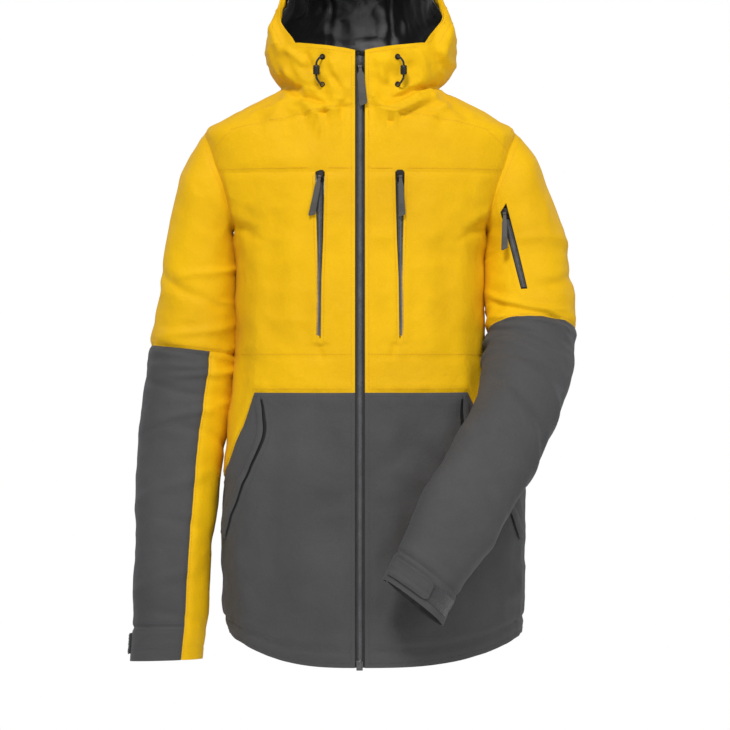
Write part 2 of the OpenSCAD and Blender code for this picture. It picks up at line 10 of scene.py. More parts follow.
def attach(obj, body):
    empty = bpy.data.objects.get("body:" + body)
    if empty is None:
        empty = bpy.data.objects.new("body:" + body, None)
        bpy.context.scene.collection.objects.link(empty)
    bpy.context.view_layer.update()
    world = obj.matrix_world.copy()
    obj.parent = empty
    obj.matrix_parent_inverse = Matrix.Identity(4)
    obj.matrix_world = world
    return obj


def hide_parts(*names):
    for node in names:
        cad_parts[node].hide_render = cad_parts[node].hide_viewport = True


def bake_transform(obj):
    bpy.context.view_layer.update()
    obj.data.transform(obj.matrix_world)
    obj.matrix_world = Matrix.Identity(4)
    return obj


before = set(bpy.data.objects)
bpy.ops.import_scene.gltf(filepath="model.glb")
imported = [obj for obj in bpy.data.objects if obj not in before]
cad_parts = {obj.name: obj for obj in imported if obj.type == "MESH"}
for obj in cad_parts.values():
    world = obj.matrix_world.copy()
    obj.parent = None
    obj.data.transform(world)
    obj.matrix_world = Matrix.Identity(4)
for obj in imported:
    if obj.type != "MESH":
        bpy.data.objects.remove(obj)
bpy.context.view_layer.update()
MM = 0.001
SIDES = ((-1, "right"), (1, "left"))    # the wearer's

# thickness of the outer fabric and of the linings
SHELL, LINER = 1.6, 1.1
# the armhole's middle, its half height, and its half width in degrees
ARMHOLE_Z, ARMHOLE_HALF, ARMHOLE_REACH = -121, 65, 24
# heights of the level seams, and of a row of stitches across the front
NECK_Z, CHEST_Z, BACK_YOKE_Z, LIGHT_Z = 0, -112, -105, -354
# half width of the main zip's opening, and each chest zip's distance from the middle
ZIP_EDGE, CHEST_ZIP_X = 6.5, 52
HEM_BAND = 22
LINING_FOOT = -705
STITCH_LIFT = 0.05

# ---------------------------------------------------------------- the surface, as in part.scad
HALF_LEFT = [[-800, 205], [-755, 208], [-716, 213], [-665, 219], [-600, 220], [-514, 216],
             [-450, 188], [-400, 170], [-345, 161], [-280, 159], [-230, 158], [-185, 166],
             [-150, 186], [-100, 205], [-56, 208], [-45, 192], [-30, 162], [-15, 132], [0, 98],
             [13, 114], [26, 122], [45, 127], [68, 126], [94, 117], [110, 106], [200, 100],
             [250, 88], [285, 62], [303, 30], [312, 1]]
HALF_RIGHT = [[-800, 158], [-755, 161], [-718, 172], [-685, 181], [-560, 184], [-502, 180],
              [-450, 174], [-400, 167], [-345, 161.5], [-280, 161], [-230, 161]] + HALF_LEFT[11:]
CENTRE_Y = [[-755, -12], [-60, -8], [0, -13], [45, -26], [68, -34], [84, -40], [103, -45],
            [200, -60], [250, -72], [285, -60], [303, -30], [312, -10]]
BACK_Y = [[-755, 120], [-600, 113], [-450, 108], [-250, 115], [-160, 113], [-110, 106], [-60, 92],
          [-30, 78], [0, 62], [20, 90], [50, 110], [100, 135], [150, 145], [200, 142], [250, 125],
          [285, 85], [303, 40], [312, -9]]
HOOD_FRONT = [[58, 56], [68, 48], [84, 32], [103, 25], [200, 25], [250, 28], [285, 36], [303, 62],
              [312, 1]]
SQUARE = [[-755, 2.4], [-200, 2.4], [-60, 2.3], [0, 2.1], [60, 2.2], [200, 2.2], [312, 2]]
RIM = [[50, 37], [58, 37], [68, 47], [84, 56], [103, 84], [200, 86], [250, 78], [278, 58],
       [290, 45], [300, 25], [305, 3], [312, 3]]
CROWN = 312


def lookup(z, rows, soft=12.0):
    """A table's value, rounded off over soft millimetres either way, but exact at the crown."""
    z = np.asarray(z, float)
    t = np.array(rows, float)
    w = np.clip((CROWN - z) * 0.4, 0, soft)
    return sum(np.interp(z + k * w, t[:, 0], t[:, 1]) for k in (-1, -0.5, 0, 0.5, 1)) / 5


def mix(a, b, t):
    return a + (b - a) * t


def spow(v, p):
    return np.sign(v) * np.abs(v) ** p


def unit(v):
    v = np.asarray(v, float)
    return v / np.maximum(np.linalg.norm(v, axis=-1, keepdims=True), 1e-9)


def zip_y(z):
    return -88.6 + 0.08 * z


def skin(a, z):
    """Point of the base surface: a is degrees from the front towards the wearer's left."""
    a, z = np.broadcast_arrays(np.asarray(a, float), np.asarray(z, float))
    s, c = np.sin(np.radians(a)), np.cos(np.radians(a))
    p = 2 / lookup(z, SQUARE)
    half = np.where(s >= 0, lookup(z, HALF_LEFT, 7), lookup(z, HALF_RIGHT, 7))
    cy = lookup(z, CENTRE_Y)
    w = np.clip((z - 50) / 16, 0, 1)
    front = mix(cy - zip_y(z), lookup(z, HOOD_FRONT), w)
    depth = np.where(c >= 0, front, lookup(z, BACK_Y) - cy)
    return np.stack([np.maximum(half, 0.5) * spow(s, p), cy - np.maximum(depth, 0.5) * spow(c, p), z],
                    -1)


def skin_normal(a, z):
    da = skin(np.asarray(a) + 0.6, z) - skin(np.asarray(a) - 0.6, z)
    dz = skin(a, np.asarray(z) + 2.0) - skin(a, np.asarray(z) - 2.0)
    return unit(np.cross(da, dz))


def angle_at(x, z, side):
    half = lookup(z, HALF_LEFT if side > 0 else HALF_RIGHT, 7)
    return np.degrees(np.arcsin(np.clip(x / half, 0, 1) ** (lookup(z, SQUARE) / 2)))


def armhole(z):
    """Half width of the armhole at a height, in degrees."""
    z = np.asarray(z, float)
    return ARMHOLE_REACH * np.sqrt(np.maximum(0, 1 - ((z - ARMHOLE_Z) / ARMHOLE_HALF) ** 2))


def girth(a):
    return np.abs(np.sin(np.radians(a))) ** 0.833


def drop_at(g):
    return -400 - 116 * (np.maximum(0, g - 0.825) / 0.175) ** 0.8


# each seam's height is a function of s, the share of the way across the front half or the back
def level(z):
    return lambda s: z + 0 * s


def hem_band(hem):
    return lambda s: hem(s) + HEM_BAND


neck_line, chest_line = level(NECK_Z), level(CHEST_Z)
light_line, back_yoke_line = level(LIGHT_Z), level(BACK_YOKE_Z)


def yoke_seam(s):
    return -28 - 62 * s ** 1.2


def split_seam(s):
    return drop_at(girth(90 * s))


def front_hem(s):
    return -755 + 37 * girth(90 * s) ** 3


def back_split(s):
    return drop_at(girth(90 + 180 * s))


def back_hem(s):
    return -718 - 47 * (1 - girth(90 + 180 * s) ** 3)


def collar_ends(a):
    a = np.asarray(a, float)
    g = girth(a)
    side = np.where(g < 0.66, mix(45, 58, (np.minimum(g, 0.66) / 0.66) ** 0.7), 58)
    return np.where(np.cos(np.radians(a)) > 0, side, mix(58, 50, -np.cos(np.radians(a))))


# ---------------------------------------------------------------- noise, seams and folds
def noise(p, size, seed=0):
    """Smooth noise between -1 and 1 with features about size across. The same every run."""
    q = np.asarray(p, float) / size
    i = np.floor(q).astype(np.int64)
    f = q - i
    f = f * f * (3 - 2 * f)
    total = 0
    for dx in (0, 1):
        for dy in (0, 1):
            for dz in (0, 1):
                h = ((i[..., 0] + dx) * 73856093) ^ ((i[..., 1] + dy) * 19349663)
                h = h ^ ((i[..., 2] + dz) * 83492791) ^ (seed * 15485863 + 77)
                h = ((h ^ (h >> 13)) * 1274126177) & 0x7FFFFFFF
                h = ((h ^ (h >> 15)) * 668265263) & 0x7FFFFFFF
                w = (np.abs(1 - dx - f[..., 0]) * np.abs(1 - dy - f[..., 1])
                     * np.abs(1 - dz - f[..., 2]))
                total = total + w * (h / 0x3FFFFFFF - 1)
    return total


def nearest(p, lines):
    """Distance from each point to the closest of the lines, which are densely spaced points."""
    flat = p.reshape(-1, 3).astype(np.float32)
    best = np.full(len(flat), 1e9, np.float32)
    pts = np.concatenate([np.asarray(q, np.float32).reshape(-1, 3) for q in lines])
    for k in range(0, len(pts), 64):
        d = ((flat[:, None, :] - pts[None, k:k + 64, :]) ** 2).sum(-1).min(1)
        best = np.minimum(best, d)
    return np.sqrt(best).reshape(p.shape[:-1]).astype(float)


def seam_relief(d, p, seed):
    """A sewn seam pulls the padded cloth in, with a soft swell and small puckers beside it."""
    groove = -1.7 * np.exp(-(d / 2.6) ** 2) + 0.9 * np.exp(-((d - 9) / 5.5) ** 2)
    return groove + 0.75 * noise(p, 8.5, seed) * np.exp(-d / 11)


def crumple(p, size, seed):
    """Sharp creases between soft lumps, between about -1 and 1."""
    n = noise(p, size, seed)
    return 1 - 2.6 * np.sqrt(n * n + 0.004)


def fold_relief(x, z, folds):
    """Placed folds: x0, z0, x1, z1, width and height, which is below 0 for a crease."""
    total = np.zeros(np.shape(x))
    for x0, z0, x1, z1, width, height in folds:
        dx, dz = x1 - x0, z1 - z0
        n = dx * dx + dz * dz
        t = np.clip(((x - x0) * dx + (z - z0) * dz) / n, -0.15, 1.15)
        d = np.hypot(x - x0 - t * dx, z - z0 - t * dz)
        ends = np.clip(np.sin(np.pi * (t + 0.15) / 1.3), 0, 1) ** 0.7
        total += height * ends * np.exp(-(d / width) ** 2)
    return total


FRONT_FOLDS = [
    (-64, -22, -50, -62, 5, 3.0), (-50, -20, -40, -66, 4, -2.6), (-36, -14, -28, -60, 5, 2.6),
    (-76, -30, -58, -60, 5, -2.0), (-24, -20, -22, -70, 4, -1.8),
    (14, -36, 92, -4, 6, 3.2), (20, -52, 104, -16, 5, -3.0), (78, -52, 128, -12, 6, 3.0),
    (60, -34, 128, -30, 5, -1.8), (16, -70, 60, -42, 5, 2.0),
    (-160, -205, -152, -400, 9, -1.6), (-140, -190, -136, -390, 10, 1.4),
    (-118, -130, -112, -330, 12, -0.9), (-92, -140, -88, -330, 14, 1.2),
    (156, -200, 150, -390, 9, -1.6), (134, -190, 134, -380, 10, 1.4),
    (112, -130, 112, -330, 12, -0.9), (90, -140, 88, -330, 14, 1.2),
    (-190, -150, -134, -182, 6, 1.8), (-182, -168, -130, -200, 5, -2.0),
    (186, -150, 134, -182, 6, 1.8), (178, -168, 130, -200, 5, -2.0),
    (-150, -96, -60, -100, 10, 1.5), (60, -98, 150, -92, 10, 1.5),
    (-58, -330, -50, -356, 4, -1.6), (46, -330, 42, -356, 4, -1.6),
    (-80, -420, -70, -700, 16, 1.8), (-110, -460, -126, -700, 14, -2.0),
    (-30, -420, -34, -690, 12, -1.4), (40, -420, 46, -690, 14, 1.8),
    (86, -430, 100, -700, 16, -1.8), (130, -540, 170, -710, 14, 2.4),
    (-160, -610, -150, -700, 10, 2.0), (70, -470, 150, -520, 12, -2.4),
    (60, -500, 160, -560, 12, 2.4),
]


def rim_angle(z):
    return lookup(z, RIM, 15)


def hood_seam(z):
    half = np.maximum(lookup(z, HALF_LEFT), 1)
    return 180 - np.degrees(np.arcsin(np.minimum(46 / half, 0.6) ** 1.1))


def sided(side, a):
    """The angle a on the wearer's left, for side 1, or on the right, for side -1."""
    return a if side > 0 else 360 - a


def armhole_edge(side, t):
    """The armhole's edge at t degrees round it from its foot."""
    t = np.radians(t)
    return skin(sided(side, 90 - ARMHOLE_REACH * np.sin(t)), ARMHOLE_Z - ARMHOLE_HALF * np.cos(t))


def near_angle(z, side):
    return angle_at(ZIP_EDGE, z, side)


def front_angle(z, side, s, gap=ZIP_EDGE):
    """The share s of the way from gap millimetres beside the middle to the side or the armhole."""
    return mix(angle_at(gap, z, side), 90 - armhole(z), s)


def back_angle(z, s):
    """The share s of the way across the back."""
    return mix(90 + armhole(z), 270 - armhole(z), s)


def dense(points, step=2.5):
    """The same line with points every step millimetres."""
    points = np.asarray(points, float)
    length = np.concatenate([[0], np.cumsum(np.linalg.norm(np.diff(points, axis=0), axis=1))])
    at = np.linspace(0, length[-1], max(2, int(length[-1] / step) + 1))
    return np.stack([np.interp(at, length, points[:, k]) for k in range(3)], -1)


def seam(a, z, side=1):
    return dense(skin(sided(side, a), z))


def front_seam(side, height):
    s = np.linspace(0, 1, 90)
    return seam(front_angle(height(s), side, s), height(s), side)


ARMHOLES = [dense(armhole_edge(side, np.linspace(0, 360, 241))) for side in (1, -1)]
BODY_SEAMS = list(ARMHOLES)
for side in (1, -1):
    for height in (yoke_seam, chest_line, split_seam, hem_band(front_hem)):
        BODY_SEAMS.append(front_seam(side, height))
    for z in (np.linspace(-186, -735, 200), np.linspace(-2, -56, 30)):
        BODY_SEAMS.append(seam(90 + 0 * z, z, side))
    z = np.linspace(50, 306, 90)
    BODY_SEAMS.append(seam(hood_seam(z), z, side))
    a = np.linspace(95, 180, 80)
    BODY_SEAMS.append(seam(a, collar_ends(a), side))
s = np.linspace(0, 1, 160)
for height in (back_yoke_line, back_split, hem_band(back_hem)):
    BODY_SEAMS.append(seam(back_angle(height(s), s), height(s)))
a = np.linspace(60, 300, 240)
BODY_SEAMS.append(seam(a, NECK_Z + 0 * a))
LIGHT_SEAMS = [front_seam(side, light_line) for side in (1, -1)]
EYELET_X, EYELET_YZ = 49, ((-81.7, 39), (-80.2, 3))
EYELETS = np.array([[side * EYELET_X, y, z] for side, _ in SIDES for y, z in EYELET_YZ], float)
NECK_FOLDS = [
    (-118, 16, -76, -12, 4.2, -3.6), (-76, -12, -50, -22, 4.0, -3.2), (-108, 28, -66, -2, 5.5, 3.0),
    (-78, -34, -52, -64, 3.8, -3.2), (-66, -28, -40, -58, 5.0, 2.4), (-52, -24, -16, -38, 4.5, 2.6),
    (-48, -34, -18, -50, 3.8, -2.8), (38, -21, 72, -6, 4.0, -3.4), (72, -6, 104, 5, 4.2, -3.4),
    (34, -40, 92, -14, 4.6, 2.8), (30, -50, 84, -28, 3.8, -2.8), (44, -8, 78, 8, 5.0, 2.6),
    (-84, 24, -52, -14, 4.5, 2.4), (-72, 44, -60, 16, 4, -2.2), (-40, 34, -24, 6, 5, 2.2),
    (-34, 12, -18, -16, 4, -2.0), (-100, 52, -70, 30, 5, 2.4), (-108, 30, -92, 4, 5, -2.2),
    (22, 36, 34, 6, 4.5, 2.0), (66, 30, 74, -2, 5, -2.0), (76, 46, 92, 14, 5, 2.4),
    (96, 50, 112, 22, 5, -2.2), (26, 16, 58, -12, 4, 1.8), (-112, 100, -100, 56, 7, -2.4),
    (108, 104, 98, 60, 7, -2.4), (118, 80, 108, 40, 6, 2.2), (-118, 84, -106, 46, 6, 2.2),
]


def body_relief(p, normal):
    """How far the worn fabric stands off the base surface, by seams, folds and creases."""
    x, y, z = p[..., 0], p[..., 1], p[..., 2]
    front = np.clip(-normal[..., 1] * 2, 0, 1)
    yokes = np.clip((z + 140) / 20, 0, 1) * np.clip((10 - z) / 20, 0, 1)
    r = seam_relief(nearest(p, BODY_SEAMS), p, 3) * (1 - 0.55 * front * yokes)
    r += 0.25 * seam_relief(nearest(p, LIGHT_SEAMS), p, 4) * (z < -300)
    r += (1.45 * fold_relief(x, z, FRONT_FOLDS) + 2.3 * fold_relief(x, z, NECK_FOLDS)) * front
    neck = np.exp(-((z + 8) / 44) ** 2) * np.exp(-(np.abs(x) / 150) ** 4)
    lean = np.stack([x + 0.5 * z * np.sign(x), y, 0.75 * z - 0.35 * np.abs(x)], -1)
    r += neck * front * (5.0 * crumple(lean, 27, 71) + 2.2 * crumple(p, 13, 72))
    # the waist's sides lie against the sleeves
    waist = np.clip((-180 - z) / 25, 0, 1) * np.clip((z + 470) / 40, 0, 1)
    r += 4.2 * waist * np.clip(2 * np.abs(normal[..., 0]) - 1, 0, 1)
    pit = np.exp(-((z + 185) / 55) ** 2) * np.exp(-((np.abs(x) - 165) / 45) ** 2)
    r += pit * (2.2 * crumple(p * np.array([1, 1, 0.55]), 24, 73))
    r += 0.9 * crumple(p, 36, 74) * (z < -40)
    hood = np.clip((z + 10) / 40, 0, 1)
    r += hood * (1.5 * crumple(p * np.array([1, 1, 1.3]), 30, 75) + 0.6 * crumple(p, 14, 76))
    r += hood * (1.6 * noise(p * np.array([1, 1, 0.7]), 38, 14) + 0.8 * noise(p, 17, 15))
    drape = p * np.array([1.0, 1.0, 0.5])
    r += 2.6 * noise(drape, 64, 1) + 1.6 * noise(p, 31, 2) + 0.6 * noise(p, 14, 6)
    back = np.clip(normal[..., 1] * 2, 0, 1) * (z < -105)
    r += 2.6 * noise(drape, 46, 8) * back
    # flat beside the main zip, the eyelets and the chest zips, full on the rest
    from_zip = np.abs(x)
    r = r * np.where(front > 0, np.clip((from_zip - 6) / 16, 0.12, 1), 1)
    hole = np.min([np.linalg.norm(p - e, axis=-1) for e in EYELETS], axis=0)
    r = r * np.clip((hole - 4) / 9, 0.05, 1)
    front = front * (z < 0)
    slot = np.exp(-((from_zip - CHEST_ZIP_X) / 11) ** 2) * front * ((z < -104) & (z > -336))
    r = r * (1 - 0.85 * slot)
    r = r * np.clip(nearest(p, ARMHOLES) / 12, 0, 1)
    rim = 1.3 * np.exp(-((np.abs(from_zip - CHEST_ZIP_X) - 8) / 3.5) ** 2) * front
    rim = rim * ((z < -114) & (z > -335))
    lip = 1.0 * np.exp(-((from_zip - 8) / 4.0) ** 2) * front
    # creases end above the layers beneath, which at the neck lie lower
    deepest = -5.0 + 1.9 * np.clip(2 * neck, 0, 1) * np.clip(front + (normal[..., 1] < 0.2), 0, 1)
    return np.clip(r, deepest, 6.5) + rim + lip


def body_point(a, z, lift=0.0):
    """Point and outward direction of the finished outer surface of the body."""
    p = skin(a, z)
    n = skin_normal(a, z)
    return p + n * (body_relief(p, n) + lift)[..., None], n


# ---------------------------------------------------------------- meshes
def vertex_normals(v, f):
    n = np.zeros_like(v)
    c = np.cross(v[f[:, 2]] - v[f[:, 0]], v[f[:, 3]] - v[f[:, 1]])
    for k in range(4):
        np.add.at(n, f[:, k], c)
    return unit(n)


def add_object(name, data):
    o = bpy.data.objects.new(name, data)
    bpy.context.scene.collection.objects.link(o)
    return o


def finish_mesh(name, v, f, material, uv=None, sharp=55):
    me = bpy.data.meshes.new(name)
    me.from_pydata((np.asarray(v) * MM).tolist(), [], [list(map(int, q)) for q in f])
    if uv is not None:
        layer = me.uv_layers.new(name="cloth")
        layer.data.foreach_set("uv", np.asarray(uv, np.float32).ravel())
    me.materials.append(material)
    me.shade_smooth()
    me.set_sharp_from_angle(angle=math.radians(sharp))
    return add_object(name, me)


def cloth(name, p, outward, thick, material, wrap=False, hole=None):
    """Closed sheet from a grid of points (rows, columns, 3), thickened away from outward."""
    nr, nc = p.shape[:2]
    r, c = np.meshgrid(np.arange(nr - 1), np.arange(nc if wrap else nc - 1), indexing="ij")
    keep = np.ones(r.shape, bool) if hole is None else ~hole
    r, c = r[keep], c[keep]
    d = (c + 1) % nc
    f = np.stack([r * nc + c, r * nc + d, (r + 1) * nc + d, (r + 1) * nc + c], 1)
    loop = np.concatenate([p, p[:, :1]], 1) if wrap else p
    steps = np.linalg.norm(np.diff(loop, axis=1), axis=2)
    across = np.concatenate([np.zeros((nr, 1)), np.cumsum(steps, 1)], 1)
    down = np.concatenate([[0], np.cumsum(np.linalg.norm(np.diff(p, axis=0), axis=2).mean(1))])
    grid = np.stack([across, np.repeat(down[:, None], across.shape[1], 1)], -1) / 10
    uv = np.stack([grid[r, c], grid[r, c + 1], grid[r + 1, c + 1], grid[r + 1, c]], 1)
    v = p.reshape(-1, 3)
    n = vertex_normals(v, f)
    if (n * np.asarray(outward).reshape(-1, 3)).sum() < 0:
        f, uv, n = f[:, ::-1], uv[:, ::-1], -n
    size = len(v)
    edges = np.concatenate([np.stack([f[:, k], f[:, (k + 1) % 4]], 1) for k in range(4)])
    edge_uv = np.concatenate([np.stack([uv[:, k], uv[:, (k + 1) % 4]], 1) for k in range(4)])
    key = edges[:, 0] * size + edges[:, 1]
    rim = ~np.isin(edges[:, 1] * size + edges[:, 0], key)
    e, eu = edges[rim], edge_uv[rim]
    side = np.stack([e[:, 1], e[:, 0], e[:, 0] + size, e[:, 1] + size], 1)
    side_uv = np.stack([eu[:, 1], eu[:, 0], eu[:, 0], eu[:, 1]], 1)
    faces = np.concatenate([f, f[:, ::-1] + size, side])
    uvs = np.concatenate([uv, uv[:, ::-1], side_uv])
    verts = np.concatenate([v, v - n * thick])
    used = np.zeros(len(verts), bool)
    used[faces.ravel()] = True
    new = np.cumsum(used) - 1
    return finish_mesh(name, verts[used], new[faces], material, uvs)


def placed(points, place):
    return points @ place[:3, :3].T + place[:3, 3]


class Pieces:
    """Collects small solids, given in millimetres, into one mesh."""

    def __init__(self):
        self.v, self.f, self.n = [], [], 0

    def add(self, v, f):
        self.v.append(np.asarray(v, float))
        self.f += [[i + self.n for i in q] for q in f]
        self.n += len(v)

    def solid(self, bm, place):
        bm.verts.index_update()
        v = np.array([w.co for w in bm.verts])
        self.add(placed(v, place), [[w.index for w in q.verts] for q in bm.faces])
        bm.free()

    def revolve(self, profile, sides, place):
        """A closed (radius, height) outline revolved about the place's Z."""
        n = len(profile)
        turns = np.radians(np.arange(sides) * 360 / sides)
        v = np.array([(r * math.cos(a), r * math.sin(a), h) for a in turns for r, h in profile])
        f = [[k * n + i, j * n + i, j * n + (i + 1) % n, k * n + (i + 1) % n]
             for k in range(sides) for j in [(k + 1) % sides] for i in range(n)]
        self.add(placed(v, place), f)

    def sew(self, p, normal):
        self.add(*stitches(p, normal))

    def make(self, name, material, sharp=40):
        return finish_mesh(name, np.concatenate(self.v), self.f, material, sharp=sharp)


def rotation(axis, degrees):
    return np.array(Matrix.Rotation(math.radians(degrees), 4, axis))


def shift(x, y, z):
    return np.array(Matrix.Translation((x, y, z)))


def prism(outline, y0, y1, bevel=0.3, segments=2):
    """A plate whose outline is in x and z, with rounded edges."""
    bm = bmesh.new()
    low = [bm.verts.new((x, y0, z)) for x, z in outline]
    high = [bm.verts.new((x, y1, z)) for x, z in outline]
    n = len(outline)
    bm.faces.new(low)
    bm.faces.new(high[::-1])
    for i in range(n):
        bm.faces.new((low[(i + 1) % n], low[i], high[i], high[(i + 1) % n]))
    bmesh.ops.recalc_face_normals(bm, faces=bm.faces)
    bmesh.ops.bevel(bm, geom=bm.edges[:], offset=bevel, segments=segments, affect="EDGES",
                    profile=0.6)
    return bm


def box(x0, x1, z0, z1):
    return [(x0, z0), (x1, z0), (x1, z1), (x0, z1)]


def stitches(p, normal, pitch=3.6, length=2.7, radius=0.38):
    """A row of stitches along a line, each a short rounded thread half sunk in the cloth."""
    p, normal = np.asarray(p, float), np.asarray(normal, float)
    run = np.concatenate([[0], np.cumsum(np.linalg.norm(np.diff(p, axis=0), axis=1))])
    at = np.arange(pitch / 2, run[-1] - length / 2, pitch)
    where = lambda q, s: np.stack([np.interp(s, run, q[:, k]) for k in range(3)], -1)
    c = where(p, at)
    t = unit(where(p, at + 0.5) - where(p, at - 0.5))
    n = unit(where(normal, at))
    b = np.cross(t, n)
    a = np.radians(np.arange(6) * 60)
    rings = [(-0.5, 0.35, -0.3), (-0.3, 1, 0.05), (0.3, 1, 0.05), (0.5, 0.35, -0.3)]
    v = np.stack([c + t * k * length + b * radius * s * math.cos(q)
                  + n * (radius * s * math.sin(q) + h) for k, s, h in rings for q in a], 1)
    f = [[i * 6 + k, i * 6 + (k + 1) % 6, (i + 1) * 6 + (k + 1) % 6, (i + 1) * 6 + k]
         for i in range(3) for k in range(6)] + [list(range(5, -1, -1)), list(range(18, 24))]
    return v.reshape(-1, 3), [[j * 24 + i for i in q] for j in range(len(at)) for q in f]


# ---------------------------------------------------------------- materials
def lin(r, g, b):
    """A linear colour from 0 to 255 values."""
    return [c / 255 / 12.92 if c < 11 else ((c / 255 + 0.055) / 1.055) ** 2.4
            for c in (r, g, b)] + [1.0]


class Shader:
    """A principled material with noise, weave and bump added by short calls."""

    def __init__(self, name, rough, specular=0.35, metallic=0.0, sheen=0.0, tint=(1, 1, 1, 1),
                 coat=0.0):
        self.mat = bpy.data.materials.new(name)
        self.mat.use_nodes = True
        self.tree = self.mat.node_tree
        self.out = self.tree.nodes["Principled BSDF"]
        for key, value in (("Roughness", rough), ("Specular IOR Level", specular),
                           ("Metallic", metallic), ("Sheen Weight", sheen),
                           ("Sheen Roughness", 0.5), ("Sheen Tint", tint), ("Coat Weight", coat)):
            self.out.inputs[key].default_value = value
        self.coords = self.tree.nodes.new("ShaderNodeTexCoord")
        self.normal = None

    def link(self, a, b):
        self.tree.links.new(a, b)

    def node(self, kind, inputs):
        n = self.tree.nodes.new("ShaderNode" + kind)
        for key, value in inputs.items():
            n.inputs[key].default_value = value
        return n

    def noise(self, scale, detail=3.0, rough=0.55):
        n = self.node("TexNoise", {"Scale": scale, "Detail": detail, "Roughness": rough})
        self.link(self.coords.outputs["Object"], n.inputs["Vector"])
        return n.outputs["Fac"]

    def wave(self, scale, direction, turn=0.0, space="UV"):
        w = self.node("TexWave", {"Scale": scale})
        w.wave_type, w.bands_direction = "BANDS", direction
        m = self.node("Mapping", {"Rotation": (0, 0, math.radians(turn))})
        self.link(self.coords.outputs[space], m.inputs["Vector"])
        self.link(m.outputs["Vector"], w.inputs["Vector"])
        return w.outputs["Fac"]

    def math(self, operation, a, b):
        n = self.node("Math", {})
        n.operation = operation
        for socket, value in zip(n.inputs, (a, b)):
            if isinstance(value, (int, float)):
                socket.default_value = value
            else:
                self.link(value, socket)
        return n.outputs[0]

    def spread(self, value, low, high, to_low, to_high):
        """Maps the range from low to high onto another."""
        n = self.node("MapRange", {"From Min": low, "From Max": high, "To Min": to_low,
                                   "To Max": to_high})
        self.link(value, n.inputs["Value"])
        return n.outputs["Result"]

    def colour(self, factor, dark, light):
        n = self.node("Mix", {})
        n.data_type = "RGBA"
        for socket in n.inputs:
            if socket.type == "RGBA":
                socket.default_value = lin(*(dark if socket.name == "A" else light))
        self.link(factor, n.inputs["Factor"])
        self.link([s for s in n.outputs if s.type == "RGBA"][0], self.out.inputs["Base Color"])

    def roughness(self, factor, low, high):
        self.link(self.spread(factor, 0.3, 0.7, low, high), self.out.inputs["Roughness"])

    def bump(self, height, distance, strength=1.0):
        n = self.node("Bump", {"Strength": strength, "Distance": distance})
        self.link(height, n.inputs["Height"])
        if self.normal is not None:
            self.link(self.normal, n.inputs["Normal"])
        self.normal = n.outputs["Normal"]
        self.link(self.normal, self.out.inputs["Normal"])


def shell_fabric(name, dark, light, tint):
    """Plain-woven face fabric with a laminate's soft crinkle."""
    m = Shader(name, 0.62, specular=0.16, sheen=0.06, tint=tint)
    cloud = m.noise(7.0, 4.0)
    fleck = m.noise(420.0, 2.0, 0.7)
    factor = m.math("ADD", m.spread(cloud, 0.3, 0.7, 0.1, 0.9),
                    m.spread(fleck, 0.3, 0.7, -0.12, 0.12))
    m.colour(factor, dark, light)
    m.roughness(cloud, 0.56, 0.7)
    m.bump(m.noise(46.0, 4.0), 0.0022, 0.6)
    m.bump(m.noise(170.0, 3.0), 0.0006, 0.6)
    weave = m.math("MULTIPLY", m.wave(2.7, "X"), m.wave(2.7, "Y"))
    m.bump(weave, 0.00022, 0.55)
    return m.mat


def taffeta(name, dark, light):
    m = Shader(name, 0.34, specular=0.5, sheen=0.1)
    cloud = m.noise(16.0, 4.0)
    m.colour(cloud, dark, light)
    m.roughness(cloud, 0.26, 0.42)
    m.bump(m.noise(70.0, 4.0), 0.0012, 0.6)
    m.bump(m.math("ADD", m.wave(3.6, "X"), m.wave(3.6, "Y")), 0.0001, 0.5)
    return m.mat


def wadding(name):
    m = Shader(name, 0.95, specular=0.1, sheen=0.5)
    m.colour(m.noise(90.0, 5.0), (196, 194, 188), (232, 230, 224))
    m.bump(m.noise(240.0, 6.0, 0.75), 0.0012)
    return m.mat


def tape_weave(name, dark, light):
    """Woven tape: a herringbone rib."""
    m = Shader(name, 0.75, specular=0.25, sheen=0.15)
    rib = m.math("MULTIPLY", m.wave(2.2, "X", 45), m.wave(2.2, "X", -45))
    cloud = m.math("MULTIPLY", m.noise(60.0), 0.4)
    m.colour(m.math("ADD", m.math("MULTIPLY", rib, 0.6), cloud), dark, light)
    m.bump(rib, 0.0003)
    return m.mat


def gunmetal(name, dark, light, rough=0.34):
    """Plated zinc, duller in patches and brighter where it rubs."""
    m = Shader(name, rough, specular=0.5, metallic=0.9)
    cloud = m.noise(160.0, 4.0)
    m.colour(cloud, dark, light)
    m.roughness(cloud, rough - 0.08, rough + 0.14)
    m.bump(m.noise(900.0, 3.0), 0.00008)
    return m.mat


def moulded(name, dark, light, rough=0.5, grain=700.0):
    """Moulded rubber or plastic with a fine matt grain."""
    m = Shader(name, rough, specular=0.4, coat=0.04)
    cloud = m.noise(80.0, 3.0)
    m.colour(cloud, dark, light)
    m.roughness(cloud, rough - 0.08, rough + 0.1)
    m.bump(m.noise(grain, 3.0), 0.00012)
    return m.mat


def braid(name, dark, light):
    m = Shader(name, 0.7, specular=0.3, sheen=0.2)
    weave = m.math("MULTIPLY", m.wave(160.0, "X", 42, "Object"), m.wave(160.0, "Z", -42, "Object"))
    m.colour(m.math("ADD", weave, m.math("MULTIPLY", m.noise(300.0), 0.3)), dark, light)
    m.bump(weave, 0.0003)
    return m.mat


def loop_pile(name):
    m = Shader(name, 0.95, specular=0.15, sheen=0.4)
    m.colour(m.noise(700.0, 5.0, 0.8), (38, 38, 40), (82, 82, 84))
    m.bump(m.noise(900.0, 5.0, 0.8), 0.0016)
    return m.mat


